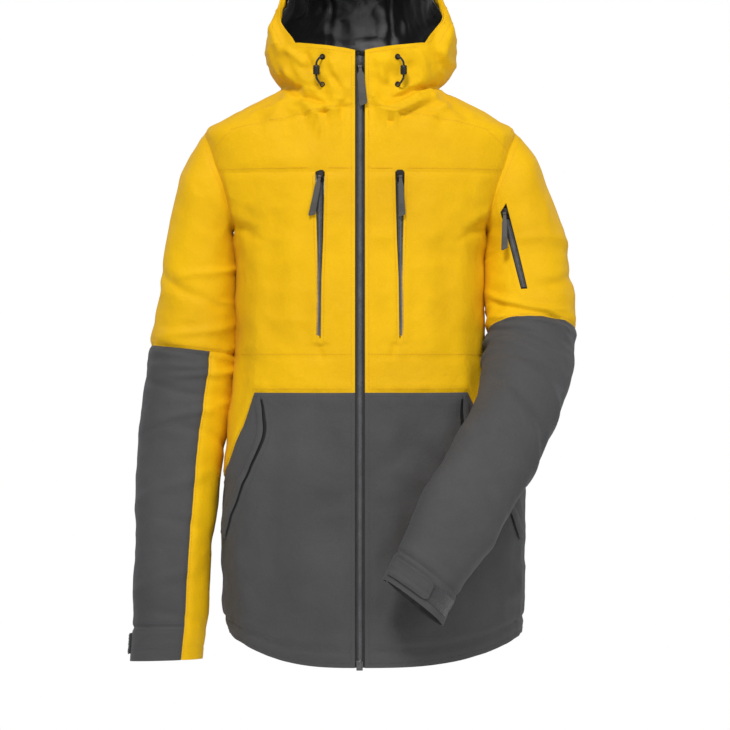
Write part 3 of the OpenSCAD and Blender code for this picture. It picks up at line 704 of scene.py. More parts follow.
YELLOW = shell_fabric("yellow_fabric", (218, 167, 3), (238, 187, 2), (1.0, 0.8, 0.3, 1))
GREY = shell_fabric("grey_fabric", (68, 68, 69), (80, 80, 81), (0.9, 0.92, 1.0, 1))
LINING = taffeta("lining_taffeta", (12, 12, 13), (24, 24, 26))
WADDING = wadding("wadding_fleece")
TAPE = tape_weave("zip_tape_weave", (48, 47, 46), (84, 82, 80))
BINDING = tape_weave("binding_weave", (20, 20, 21), (44, 44, 46))
COIL = moulded("zip_coil_nylon", (76, 77, 80), (112, 113, 117), 0.42, 900.0)
METAL = gunmetal("gunmetal", (88, 88, 90), (128, 127, 126))
DARK_METAL = gunmetal("dark_metal", (28, 27, 27), (58, 56, 54), 0.4)
PULL = moulded("pull_rubber", (66, 64, 61), (86, 84, 80), 0.62)
PLASTIC = moulded("lock_plastic", (14, 14, 15), (34, 34, 36), 0.42)
CORD = braid("cord_braid", (18, 17, 17), (48, 46, 45))
PILE = loop_pile("loop_pile")
THREAD_YELLOW = moulded("thread_yellow", (206, 152, 14), (232, 178, 20), 0.6, 1200.0)
THREAD_GREY = moulded("thread_grey", (62, 63, 65), (82, 83, 85), 0.6, 1200.0)

BODY = "garment_body"


def labelled(o, *nodes, slot=None):
    """Hides the imported nodes that a piece stands for; its slot is not used."""
    if nodes:
        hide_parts(*nodes)
    return o


def rides(o, body, *nodes, slot=None):
    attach(o, body)
    return labelled(o, *nodes, slot=slot)


# ---------------------------------------------------------------- body panels
def half_gap(z):
    """Half of the opening over a chest zip, which closes towards its foot."""
    return np.interp(z, [-360, -329.5, -250, -200, -112, -80], [1.5, 0.7, 1.8, 4.0, 6.2, 1.5])


N_IN, N_OUT = 15, 44


def front_grid(side, top, foot, share):
    """Angles and heights of a front panel's grid. Its columns part at the chest zip."""
    u = np.concatenate([np.linspace(0, 0.14, N_IN + 1), np.linspace(0.17, 1, N_OUT + 1)])
    z = mix(top(u)[None, :], foot(u)[None, :], share[:, None])
    k = np.arange(N_IN + 1) / N_IN
    m = np.arange(N_OUT + 1) / N_OUT
    for _ in range(4):
        near, far = near_angle(z, side), 90 - armhole(z)
        g = half_gap(z)
        left, right = (angle_at(CHEST_ZIP_X + d, z, side) for d in (-g, g))
        a = np.concatenate([mix(near[:, :N_IN + 1], left[:, :N_IN + 1], k[None]),
                            mix(right[:, N_IN + 1:], far[:, N_IN + 1:], m[None])], 1)
        s = (a - near) / (far - near)
        z = mix(top(s), foot(s), share[:, None])
    return a, z


def shares(top, foot, step=3.2):
    """Row positions from 0 to 1, closer where an armhole's edge turns level."""
    zs = np.linspace(top, foot, max(3, int(abs(foot - top) / step) + 1))
    near = np.array([0, 0.12, 0.4, 0.9, 1.8, 3.0, 4.6])
    ends = ((ARMHOLE_Z - ARMHOLE_HALF, 1), (ARMHOLE_Z + ARMHOLE_HALF, -1))
    extra = [z for turn, way in ends for z in turn + way * near if foot < z < top]
    zs = np.unique(np.round(np.concatenate([zs, extra]), 3))[::-1]
    zs = zs[np.concatenate([[True], np.diff(zs) < -0.05])]
    zs[-1] = foot
    return (zs - top) / (foot - top)


def front_piece(name, side, top, foot, material, slit=False):
    ends = top(np.array([1.0]))[0], foot(np.array([1.0]))[0]
    a, z = front_grid(side, top, foot, shares(*ends))
    p, n = body_point(sided(side, a), z)
    hole = None
    if slit:
        hole = np.zeros((a.shape[0] - 1, a.shape[1] - 1), bool)
        hole[:, N_IN] = z[1:, N_IN] > -330
    rides(cloth(name, p, n, SHELL, material, hole=hole), BODY, name)


for side, word in SIDES:
    front_piece("front_yoke_" + word, side, neck_line, yoke_seam, YELLOW)
    front_piece("chest_panel_" + word, side, yoke_seam, chest_line, YELLOW)
    front_piece("front_panel_" + word, side, chest_line, split_seam, YELLOW, slit=True)
    front_piece("lower_front_" + word, side, split_seam, front_hem, GREY)


def back_piece(name, top, foot, material, columns=130):
    s = np.linspace(0, 1, columns + 1)
    share = shares(top(np.array([0.0]))[0], foot(np.array([0.0]))[0])
    z = mix(top(s)[None], foot(s)[None], share[:, None])
    p, n = body_point(back_angle(z, s[None]), z)
    rides(cloth(name, p, n, SHELL, material), BODY, name)


back_piece("back_yoke", neck_line, back_yoke_line, YELLOW)
back_piece("back_panel", back_yoke_line, back_split, YELLOW)
back_piece("lower_back", back_split, back_hem, GREY)


def layer(name, gap, top, foot, lift, thick, material, step=9.0):
    """A hidden layer inside the body: both fronts and the back, with open armholes."""
    def add(part, a, z, side=1):
        # lower under the deep folds at the neck
        depth = lift - 3.2 * np.exp(-((z + 25) / 42) ** 2)
        p, n = body_point(sided(side, a), z, depth)
        rides(cloth(name + part, p, n, thick, material), BODY, name)

    z = mix(top, foot, shares(top, foot, step))[:, None]
    s = np.linspace(0, 1, 34)[None]
    for side, word in SIDES[::-1]:
        add("_" + word, front_angle(z, side, s, gap), z + 0 * s, side)
    s = np.linspace(0, 1, 70)[None]
    add("_back", back_angle(z, s), z + 0 * s)


layer("body_lining", 10.5, -1.0, LINING_FOOT, -8.4, 1.2, LINING)
layer("insulation", 22.5, -1.0, LINING_FOOT, -5.0, 1.3, WADDING)
layer("powder_skirt", 34, -530, -620, -15.2, 1.0, LINING)


def hem_facing():
    """The hem turns up inside and meets the lining."""
    u = np.linspace(0, 1, 12)[:, None]
    lift = -(1.65 + 5.2 * np.clip(u / 0.6, 0, 1) ** 1.5)

    def add(part, a, hem, s, side=1):
        z = hem(s) + 0.4 + u * (LINING_FOOT + 1 - hem(s))
        p, n = body_point(sided(side, a(z)), z, lift)
        rides(cloth("hem_facing_" + part, p, n, 1.2, GREY), BODY)

    s = np.linspace(0, 1, 60)[None]
    for side, word in SIDES[::-1]:
        add(word, lambda z: mix(angle_at(8.5, z, side), 89.9, s), front_hem, s, side)
    s = np.linspace(0, 1, 110)[None]
    add("back", lambda z: mix(90.1, 269.9, s) + 0 * z, back_hem, s)


hem_facing()


# first and last angle, top and foot of the chest pocket's bag and of the hand pocket's
BAGS = ((24, 52, -130, -330), (26, 66, -410, -600))
for side, word in SIDES[::-1]:
    for k, (a0, a1, z0, z1) in enumerate(BAGS):
        s, down = np.meshgrid(np.linspace(0, 1, 26), np.linspace(0, 1, 36))
        round_off = 1 - 0.16 * np.clip((np.abs(2 * s - 1) - 0.6) / 0.4, 0, 1) ** 2
        z = mix(z0, z1, 0.5 + (down - 0.5) * round_off)
        p, n = body_point(sided(side, mix(a0, a1, s)), z, -12.6)
        p = p - n * (0.6 * noise(p, 22, 12) + 0.6)[..., None]
        rides(cloth(f"pocket_bag_{k}_{word}", p, n, LINER, LINING), BODY, "pocket_bags")


# ---------------------------------------------------------------- collar and hood
def collar(side, word):
    s = np.linspace(0, 1, 110)
    rows = np.linspace(1, 0, 22)[:, None]
    z = collar_ends(mix(near_angle(45, side), 180, s))[None] * rows
    for _ in range(3):
        a = mix(near_angle(z, side), 180, s[None])
        z = collar_ends(a) * rows
    p, n = body_point(sided(side, a), z)
    rides(cloth("collar_" + word, p, n, SHELL, YELLOW), BODY, "collar")
    near = np.maximum(near_angle(z, side), angle_at(9.6, z, side))
    a = mix(near, 180, s[None])
    p, n = body_point(sided(side, a), z - 0.8 * rows, -8.2 + 5.4 * rows ** 5)
    p = p - n * (0.9 * noise(p, 17, 21) + 0.6)[..., None] * (1 - rows[..., None] ** 4)
    rides(cloth("collar_lining_" + word, p, n, LINER, LINING), BODY, "collar_lining")


for side, word in SIDES:
    collar(side, word)


def hood_grid(start, end, columns, rows=96):
    """Angles and heights of part of the hood, from the collar to the crown."""
    s = np.linspace(0, 1, columns + 1)[None]
    r = (1 - (1 - np.linspace(0, 1, rows)) ** 1.6)[:, None]
    foot = np.full_like(s, 55.0)
    for _ in range(6):
        foot = collar_ends(mix(start(foot), end(foot), s))
    z = foot + (CROWN - foot) * r
    return mix(start(z), end(z), s), z


def hood_piece(name, side, start, end, columns, material, lift, thick, slack):
    a, z = hood_grid(start, end, columns)
    p, n = body_point(sided(side, a), z, lift(a, z) if callable(lift) else lift)
    if slack:
        hang = 0.5 + noise(p * np.array([1, 1, 0.6]), 24, 31) + 0.5 * noise(p, 11, 32)
        p = p - n * (slack * hang)[..., None]
    return cloth(name, p, n, thick, material)


def behind_rim(degrees):
    return lambda z: rim_angle(z) + degrees


def back_middle(z):
    return 180 + 0 * z


def facing_lift(a, z):
    return -(1.62 + 4.6 * np.clip((a - rim_angle(z)) / 4, 0, 1) ** 0.8)


for side, word in SIDES:
    for part, nodes, start, end, columns, material, lift, thick, slack in (
            ("side", ["hood_side_" + word], rim_angle, hood_seam, 56, YELLOW, 0.0, SHELL, 0),
            ("centre", ["hood_centre"], hood_seam, back_middle, 18, YELLOW, 0.0, SHELL, 0),
            ("facing", [], rim_angle, behind_rim(13), 12, YELLOW, facing_lift, LINER, 0),
            ("lining", ["hood_lining"], behind_rim(9), back_middle, 70, LINING, -8.4, LINER, 1.6),
            ("brim", ["hood_brim"], behind_rim(2), behind_rim(7), 5, BINDING, -3.2, 1.4, 0)):
        piece = hood_piece(f"hood_{part}_{word}", side, start, end, columns, material, lift, thick,
                           slack)
        rides(piece, BODY, *nodes, slot="black_lining" if part == "brim" else None)


# ---------------------------------------------------------------- sleeves
# each ring: x and z of its outer edge, x and z of its inner edge, y, half depth
RIGHT_ARM = [[-209.5, -57, -169.5, -186, -4, 50], [-224, -84, -168, -192, -4, 50],
             [-234, -104, -168, -199, -4, 50], [-245, -150, -167, -214, -3, 50],
             [-259, -214, -166, -240, -2, 50], [-268, -280, -165.5, -290, -1, 51],
             [-279, -338, -166, -351, -1, 52], [-287, -396, -171, -400, -4, 53],
             [-294, -454, -178, -454, -9, 53], [-296, -502, -184, -502, -14, 51],
             [-297, -562, -190, -562, -21, 49], [-297, -605, -195, -605, -27, 47],
             [-299, -647, -198, -647, -32, 46], [-299.5, -710, -202.5, -710, -38, 44],
             [-302, -730, -205, -730, -39, 43], [-303, -754, -207, -751, -40, 42]]
LEFT_ARM = [[209.5, -57, 169.5, -186, -4, 50], [233, -88, 168, -192, -4, 50],
            [248, -129, 168, -202, -5, 50], [261, -162, 167, -212, -6, 50],
            [273, -200, 167, -228, -8, 50], [279, -242, 167, -252, -13, 50],
            [284, -280, 168, -285, -20, 50], [285, -319, 170, -321, -32, 50],
            [283, -345, 168, -340, -47, 49], [276, -380, 166, -368, -71, 48],
            [262, -424, 160, -398, -101, 46], [243, -463, 146, -421, -127, 45],
            [219, -511, 128, -449, -150, 44], [196, -548, 107, -487, -167, 43],
            [170, -594, 80, -529, -181, 42], [143, -632, 61, -574, -190, 41],
            [124, -660, 47, -601, -195, 40], [116, -677, 39, -618, -197, 39.5],
            [106, -697, 30, -638, -200, 39]]
# the rings at the elbow and the wrist, the angles of the split between the forearm's two panels,
# and the angles of the cuff tab's sewn end and free end
ARMS = {-1: dict(rings=RIGHT_ARM, elbow=6, wrist=13, split=(66, 294), word="right", tab=(262, 170)),
        1: dict(rings=LEFT_ARM, elbow=7, wrist=16, split=(-20, 265), word="left", tab=(21, 103))}


def arm_frame(arm, i):
    """Centre, inward half width and forward direction of a sleeve at one ring."""
    centre = lambda r: np.array([(r[0] + r[2]) / 2, r[4], (r[1] + r[3]) / 2])
    ahead = unit(centre(arm[min(i + 1, len(arm) - 1)]) - centre(arm[max(i - 1, 0)]))
    r = arm[i]
    half = np.array([(r[2] - r[0]) / 2, 0, (r[3] - r[1]) / 2])
    front = unit(np.cross(half, ahead))
    return centre(r), half, (front if front[1] < 0 else -front)


def ring(arm, i, t):
    """One ring of a sleeve, a squared oval."""
    centre, half, front = arm_frame(arm, i)
    c, s = np.cos(np.radians(t))[:, None], np.sin(np.radians(t))[:, None]
    p = 2 / 2.2
    return centre + half * spow(c, p) + front * arm[i][5] * spow(s, p)


def arm_surface(side, t, step=3.2):
    """Sleeve surface through the rings: points, the row of each ring, and length down the arm."""
    arm = ARMS[side]["rings"]
    rings = np.stack([armhole_edge(side, t)] + [ring(arm, i, t) for i in range(1, len(arm))])
    mid = rings.mean(1)
    d = np.linalg.norm(np.diff(mid, axis=0), axis=1)
    slope = np.empty_like(rings)
    rise = np.diff(rings, axis=0) / d[:, None, None]
    slope[0], slope[-1] = rise[0], rise[-1]
    w = (d[1:] / (d[1:] + d[:-1]))[:, None, None]
    slope[1:-1] = rise[:-1] * w + rise[1:] * (1 - w)
    rows, at = [], [0]
    for i in range(len(arm) - 1):
        n = max(3, int(round(d[i] * 1.25 / step)))
        for u in np.arange(n) / n:
            rows.append(rings[i] * (2 * u ** 3 - 3 * u ** 2 + 1)
                        + rings[i + 1] * (3 * u ** 2 - 2 * u ** 3)
                        + (slope[i] * (u ** 3 - 2 * u ** 2 + u)
                           + slope[i + 1] * (u ** 3 - u ** 2)) * d[i])
        at.append(len(rows))
    rows.append(rings[-1])
    p = np.stack(rows)
    v = np.concatenate([[0], np.cumsum(np.linalg.norm(np.diff(p.mean(1), axis=0), axis=1))])
    return p, at, v


def grid_normals(p):
    """Outward directions of a sleeve's grid, whose rows go round it and close."""
    dt = np.gradient(np.concatenate([p[:, -2:-1], p, p[:, 1:2]], 1), axis=1)[:, 1:-1]
    n = unit(np.cross(dt, np.gradient(p, axis=0)))
    out = p - p.mean(1, keepdims=True)
    return n * np.sign((n * out).sum())


SLEEVE_ZIP = (shift(189, -49.6, -157) @ rotation("Y", -math.degrees(math.atan2(31, 113)))
              @ rotation("Z", -10) @ rotation("X", -math.degrees(math.atan(16.6 / 112))))


def zip_local(p):
    """Points in the sleeve zip's own frame."""
    return (p - SLEEVE_ZIP[:3, 3]) @ SLEEVE_ZIP[:3, :3]


def sleeve_gap(w):
    return np.interp(w, [-125, -111, -60, 0, 12], [3.6, 4.2, 4.8, 5.4, 1.5])


CREASES = {
    # (length down the arm, angle round it, lean, half length, width, height)
    -1: [(120, 60, 0.3, 70, 6, 2.2), (150, 120, -0.3, 70, 7, -2.2), (205, 80, 0.25, 60, 6, 2.4),
         (232, 110, -0.2, 65, 6, -2.6), (262, 60, 0.2, 60, 5, 2.6), (284, 120, -0.25, 60, 6, -2.4),
         (318, 80, 0.3, 55, 6, 2.4), (350, 40, -0.3, 60, 7, -2.2), (420, 110, 0.35, 60, 8, 2.0),
         (470, 60, -0.3, 60, 8, -1.8), (540, 110, 0.3, 60, 8, 2.0), (590, 50, -0.2, 60, 7, -2.0),
         (300, 250, 0.2, 60, 7, -2.4), (250, 280, -0.2, 60, 7, 2.2), (200, 250, 0.2, 60, 8, -2.0)],
    1: [(96, 150, 0.3, 60, 7, 2.0), (140, 165, -0.4, 60, 7, -2.0), (178, 70, 0.5, 60, 6, 2.6),
        (196, 90, 0.45, 60, 5, -3.0), (214, 80, 0.4, 60, 6, 3.0), (236, 60, 0.5, 65, 6, -3.0),
        (256, 50, 0.5, 60, 6, 2.8), (284, 70, 0.3, 55, 7, -2.4), (320, 120, 0.5, 70, 9, 2.6),
        (352, 100, 0.6, 70, 9, -2.6), (392, 140, 0.6, 70, 9, 2.2), (440, 100, 0.6, 70, 10, -2.2),
        (500, 130, 0.5, 70, 9, 2.2), (220, 250, 0.3, 70, 8, -2.4), (262, 270, -0.3, 70, 8, 2.2),
        (246, 0, 0.0, 40, 6, -3.4), (262, 350, 0.0, 40, 6, 2.6)],
}


def sleeve_relief(side, p, t, v, elbow, lines):
    """How far the worn sleeve stands off its plain surface. v is the length down the arm."""
    r = seam_relief(nearest(p, lines), p, 40 + side)
    turn = np.radians(t)[None]
    # along the sleeve the wrinkles are close together, and round it they are long
    q = np.stack(np.broadcast_arrays(np.cos(turn) * 52, np.sin(turn) * 52, v[:, None] * 2.2), -1)
    bend = np.exp(-((v - elbow) / 85) ** 2)[:, None]
    r += ((0.4 + 1.0 * bend) * noise(q, 40, 50 + side) + 1.6 * noise(p, 46, 52)
          + 0.45 * noise(p, 16, 53))
    r += (0.2 + 1.1 * bend) * crumple(q, 34, 54 + side) + 0.6 * crumple(p, 26, 56)
    for v0, t0, lean, reach, width, height in CREASES[side]:
        dt = (t[None] - t0 + 180) % 360 - 180
        d = (v[:, None] - v0) - lean * dt * 0.9
        r += 1.25 * height * np.exp(-(d / width) ** 2) * np.exp(-(dt / reach) ** 4)
    # the side towards the body lies close to it
    touch = np.exp(-(((t[None] + 180) % 360 - 180) / 34) ** 2)
    touch = touch * np.clip((v[:, None] - 20) / 30, 0, 1)
    close = 2.8 + (4.2 * np.exp(-((v - 300) / 60) ** 2)[:, None] if side > 0 else 0)
    calm = np.where(v > elbow + 40, 0.8, 1.05)[:, None]
    r = np.clip(calm * r, -5.0, 6.0) + close * touch * np.clip((385 - v[:, None]) / 60, 0, 1)
    return r * np.clip(v / 12, 0, 1)[:, None]


def part_at_zip(p, t, last):
    """Down to row last, two columns move to the pocket zip's edges. Returns the open faces too."""
    local = zip_local(p)
    span = (t > 45) & (t < 160)
    k = int(np.argmin(np.abs(t - 100)))
    i0, i1 = np.searchsorted(t, 20.0), np.searchsorted(t, 180.0)
    hole = np.zeros((p.shape[0] - 1, p.shape[1] - 1), bool)
    new = p.copy()
    for r in range(last + 1):
        u, w = local[r, span, 0], local[r, span, 2]
        order = np.argsort(u)
        w0 = np.interp(0, u[order], w[order])
        g = sleeve_gap(w0)
        left, right = (np.interp(x, u[order], t[span][order]) for x in (-g, g))
        if u[0] > u[-1]:
            left, right = right, left
        fade = np.clip(1 - max(w0 - 8, -119 - w0, 0) / 40, 0, 1)
        fade = fade * fade * (3 - 2 * fade)
        left, right = mix(t[k], left, fade), mix(t[k + 1], right, fade)
        lo, hi = min(left, right), max(left, right)
        want = t.copy()
        want[i0:k + 1] = mix(t[i0], lo, (np.arange(i0, k + 1) - i0) / (k - i0))
        want[k + 1:i1 + 1] = mix(hi, t[i1], (np.arange(k + 1, i1 + 1) - k - 1) / (i1 - k - 1))
        new[r] = np.stack([np.interp(want, t, p[r, :, c]) for c in range(3)], -1)
        hole[r, k] = -111.5 < w0 < 0.5
    return new, hole


def build_arm(side):
    """The whole sleeve's grid, columns from one split round to the same split again."""
    arm = ARMS[side]
    s0, s1 = arm["split"]
    inner = np.linspace(s1 - 360, s0, 36 if side < 0 else 34)
    t = np.concatenate([inner, np.linspace(s0, s1, 66)[1:]])
    p, at, v = arm_surface(side, t)
    e, w, k = at[arm["elbow"]], at[arm["wrist"]], int(np.argmin(np.abs(t - s0)))
    arm.update(at=at, t=t, v=v, k=k, e=e, w=w, end=len(v) - 1, hole=None)
    if side > 0:
        p, arm["hole"] = part_at_zip(p, t, e)
    lines = [dense(p[0]), dense(p[e]), dense(p[w, k:]), dense(p[e:, 0]), dense(p[e:, k])]
    n = grid_normals(p)
    r = sleeve_relief(side, p, t, v, v[e], lines)
    if side > 0:
        # flat beside the zip, with a raised edge
        x, y, z = np.moveaxis(zip_local(p), -1, 0)
        near = np.exp(-(x / 12) ** 2) * (z < 8) * (z > -119) * (y < 14)
        r = r * (1 - 0.9 * near) + 1.1 * np.exp(-((np.abs(x) - 7) / 3) ** 2) * (near > 0.05)
    hem = np.exp(-((v[-1] - v[:, None] - 17) / 1.6) ** 2) * 0.7
    arm["p"], arm["n"] = p + n * (r - hem)[..., None], n


for side, _ in SIDES:
    build_arm(side)


def upper_blend(o, side):
    """Bakes the piece's transform into its mesh. The top and bottom of the armhole's ring are found,
    but the fabric is not bent."""
    ring0 = ARMS[side]["p"][0, :-1]
    top, bottom = ring0[ring0[:, 2].argmax()], ring0[ring0[:, 2].argmin()]
    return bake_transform(o)


def fore_blend(o):
    """Bakes the piece's transform into its mesh; the fabric is not bent."""
    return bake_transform(o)


def sleeve(side):
    arm = ARMS[side]
    word, p, n, e, w, end, k = (arm[x] for x in ("word", "p", "n", "e", "w", "end", "k"))
    hole = None if arm["hole"] is None else arm["hole"][:e]
    upper = cloth("sleeve_upper_" + word, p[:e + 1, :-1], n[:e + 1, :-1], SHELL, YELLOW, True, hole)
    outer = cloth("forearm_outer_" + word, p[e:w + 1, k:], n[e:w + 1, k:], SHELL, GREY)
    foot = len(p) - (2 if side > 0 else 0)
    inner = cloth("forearm_inner_" + word, p[e:foot, :k + 1], n[e:foot, :k + 1], SHELL, YELLOW)
    cuff = cloth("cuff_" + word, p[w:, k:], n[w:, k:], SHELL, GREY)
    # the lining hangs inside and meets the hem
    inset = 8.2 * np.ones((len(p), 1, 1))
    inset[-14:] = np.linspace(8.2, 2.4, 14)[:, None, None]
    slack = 0.8 * noise(p, 19, 61)[..., None] * (inset > 8)
    q = p - n * (inset + 0.4 + slack)
    rows = slice(0, e + 1 + e % 2, 2)
    upper_lining = cloth("sleeve_lining_" + word, q[rows, :-1:2], n[rows, :-1:2], LINER, LINING,
                         True)
    fore_lining = cloth("forearm_lining_" + word, q[e:end, :-1], n[e:end, :-1], LINER, LINING, True)
    for o, node in ((upper, "sleeve_upper_"), (upper_lining, "sleeve_lining_")):
        labelled(upper_blend(o, side), node + word)
    for o, node in ((outer, "forearm_outer_"), (inner, "forearm_inner_"),
                    (fore_lining, "forearm_lining_")):
        labelled(fore_blend(o), node + word)
    rides(cuff, "forearm_" + word, "cuff_" + word)


for side, _ in SIDES:
    sleeve(side)


# ---------------------------------------------------------------- zips
def local_cloth(name, place, grid, thick, material):
    """A sheet given in a place's own frame, whose outside faces forward."""
    ahead = np.broadcast_to(np.array([0.0, -1.0, 0.0]), grid.shape)
    return cloth(name, placed(grid, place), ahead @ place[:3, :3].T, thick, material)


# one turn of a coil, z and y
TOOTH = [(-0.56, 2.6), (-0.56, 0.5), (-0.3, -0.15), (0.3, -0.15), (0.56, 0.5), (0.56, 2.6)]


def zip_side(name, place, length, side, reach, body, node, tail=0.0):
    """One side of a coil zip: woven tape with a corded edge, and the coil's turns."""
    pitch = 1.62
    rows = max(20, int(length / 6))
    x = np.array([1.0, 2.2, 3.2, 3.6, 5.0, (5.0 + reach) / 2 + 0.5, reach + 0.8])
    y = np.array([2.3, 2.2, 2.5, 3.35, 3.45, 3.45, 3.45])
    if reach < 5:
        x = np.array([1.0, 2.2, 3.2, 3.6, 4.2, 4.8, reach + 0.8])
    w = np.linspace(-0.4, -length - tail, rows)
    g = np.stack(np.broadcast_arrays(side * x[None], y[None] + 0.12 * np.sin(w / 7)[:, None],
                                     w[:, None]), -1)
    tape = local_cloth(name + "_tape", place, g, 0.6, TAPE)
    coil = Pieces()
    turn = np.array([(x, y, z) for x in (-0.75, 3.0) for z, y in TOOTH])
    faces = [[k, (k + 1) % 6, 6 + (k + 1) % 6, 6 + k] for k in range(6)]
    faces += [list(range(5, -1, -1)), list(range(6, 12))]
    for i in range(int((length - 2) / pitch)):
        v = turn.copy()
        v[:, 2] += -1.2 - pitch * (i + (0.5 if side > 0 else 0))
        v[:, 0] *= side
        coil.add(placed(v, place), faces if side > 0 else [q[::-1] for q in faces])
    for o in (tape, coil.make(name + "_coil", COIL, 30)):
        rides(o, body, node)


# the pull's pin, in front of the slider
HINGE_Y = -4.9


def slider(name, place, body):
    b = Pieces()
    outline = [(-2.4, 6.5), (2.4, 6.5), (4.8, 4.4), (4.8, -0.8), (3.5, -6.5), (-3.5, -6.5),
               (-4.8, -0.8), (-4.8, 4.4)]
    b.solid(prism(outline, -2.3, -0.85, 0.38, 3), place)
    b.solid(prism([(-2.4, 4.6), (2.4, 4.6), (1.5, -3.6), (-1.5, -3.6)], -2.75, -2.1, 0.3), place)
    b.solid(prism(outline, 4.6, 5.7, 0.3), place)
    b.solid(prism(box(-0.4, 0.4, 5.6, 0.5), -1.0, 4.9, 0.1), place)
    for x in (-3.6, 3.6):
        b.solid(prism(box(x - 0.65, x + 0.65, -1.6, 1.6), -6.25, -1.9, 0.35, 3), place)
    b.revolve([(0.01, -3.6), (0.8, -3.6), (0.9, -3.4), (0.9, 3.4), (0.8, 3.6), (0.01, 3.6)], 20,
              place @ shift(0, HINGE_Y, 0) @ rotation("Y", 90))
    rides(b.make(name, DARK_METAL), body, name)


def pull(name, place, body, length, width, skew=0.0, lift=0.0):
    """A tapered moulded pull with a slanted foot, raised rails and a few ribs."""
    hang = (place @ shift(0, HINGE_Y, 0) @ rotation("X", -lift) @ rotation("Y", skew)
            @ shift(0, -HINGE_Y, 0))
    h, tip = width / 2, min(2.6, width * 0.32)
    top = h - 1.0
    b = Pieces()
    outline = [(-2.2, -1.75), (2.2, -1.75), (2.3, -6.5), (top - 0.4, -8.6), (top, -10),
               (h, -length + tip + 2.2), (h - 0.5, -length + tip + 0.6), (-h + tip * 0.5, -length),
               (-h, -length + 1.2), (-top, -10), (-top + 0.4, -8.6), (-2.3, -6.5)]
    b.solid(prism(outline, -5.9, -3.9, 0.55, 3), hang)
    rail = 0.55
    for x in (-h + 1.1, h - 1.1):
        b.solid(prism(box(x - rail / 2, x + rail / 2, -12, -length + 5), -6.3, -5.6, 0.18), hang)
    for z in np.arange(-length + 8, -length + 19, 2.2):
        b.solid(prism(box(-h + 1.9, h - 1.9, z, z + 0.9), -6.3, -5.6, 0.2), hang)
    b.revolve([(1.15, -2.3), (1.9, -2.3), (2.1, -2.1), (2.1, 2.1), (1.9, 2.3), (1.15, 2.3)], 28,
              hang @ shift(0, HINGE_Y, 0) @ rotation("Y", 90))
    rides(b.make(name, PULL), body, name)


TILT = math.degrees(math.atan(0.08))


def main_place(z):
    return shift(0, zip_y(z), z) @ rotation("X", -TILT)


MAIN_ZIP = main_place(41)
MAIN_LENGTH = 790 / math.cos(math.radians(TILT))
for side, word in SIDES:
    zip_side("main_zip_" + word, MAIN_ZIP, MAIN_LENGTH, side, 13.6, BODY, "zip_tape_" + word, 5.6)
ends = Pieces()
foot, top = -MAIN_LENGTH - 9.3, -MAIN_LENGTH + 2.6
ends.solid(prism(box(-4.6, 1.7, foot, top), -0.6, 3.8, 0.5, 3), MAIN_ZIP)
ends.solid(prism(box(1.75, 3.6, foot, top), 0.4, 3.0, 0.35, 3), MAIN_ZIP)
rides(ends.make("zip_box_and_pin", METAL), BODY, "zip_box")
stops = Pieces()
for x in (-2.2, 2.2):
    stops.solid(prism(box(x - 1.4, x + 1.4, 0.2, 3.4), -0.9, 3.3, 0.6, 3), MAIN_ZIP)
rides(stops.make("zip_top_stops", DARK_METAL), BODY, "zip_stops")
slider("main_slider", main_place(25), "main_slider")
pull("main_pull", main_place(25), "main_pull", 52, 11, skew=-5)

CHEST_LEAN = -4.222


def chest_place(side, z):
    y = -95.762 + (-110 - z) * math.tan(math.radians(CHEST_LEAN))
    return shift(side * CHEST_ZIP_X, y, z) @ rotation("Z", side * 7) @ rotation("X", CHEST_LEAN)


for side, word in SIDES:
    head, at_slider = chest_place(side, -110), chest_place(side, -119)
    for k in (-1, 1):
        zip_side(f"chest_zip_{word}_{'ab'[k > 0]}", head, 219, k, 8.6, BODY, "chest_zip_" + word)
    slider("chest_slider_" + word, at_slider, "chest_slider_" + word)
    pull("chest_pull_" + word, at_slider, "chest_pull_" + word, 53, 9, skew=11 if side < 0 else -2)
    cap = Pieces()
    cap.solid(prism([(-5.6, -4.6), (5.6, -4.6), (5.2, -1.4), (3.2, 0.6), (-3.2, 0.6), (-5.2, -1.4)],
                    -1.2, 2.4, 0.5, 3), head)
    rides(cap.make("chest_zip_end_" + word, DARK_METAL), BODY)

for k in (-1, 1):
    zip_side(f"sleeve_zip_{'ab'[k > 0]}", SLEEVE_ZIP, 111, k, 4.7, "sleeve_left", "sleeve_zip")
slider("sleeve_slider", SLEEVE_ZIP @ shift(0, 0, -9), "sleeve_slider")
pull("sleeve_pull", SLEEVE_ZIP @ shift(0, 0, -9), "sleeve_pull", 50, 8.5, skew=13, lift=9)


# ---------------------------------------------------------------- small fabric parts
w = np.linspace(0, -700, 176)[:, None]
s = np.linspace(-1, 1, 19)[None]
corner = 26 - 9 * np.clip((np.abs(w + 350) - 340) / 10, 0, 1) ** 2
wave = 0.28 * np.sin(w / 19) * np.abs(s) + 0.12 * np.sin(w / 7.5 + 3 * s)
grid = np.stack(np.broadcast_arrays(s * corner, 12.9 + wave, w), -1)
rides(local_cloth("storm_flap", main_place(30), grid, 1.0, LINING), BODY, "storm_flap")

# height, and share of the front's width
WELT = [[-592, 0.95], [-560, 0.905], [-515, 0.825], [-477, 0.75], [-455, 0.715], [-429, 0.735],
        [-405, 0.765]]


def welt_angle(z, k):
    share = lookup(z, WELT, 8)
    return np.degrees(np.arcsin(np.minimum(share + k, 0.9999) ** 1.2))


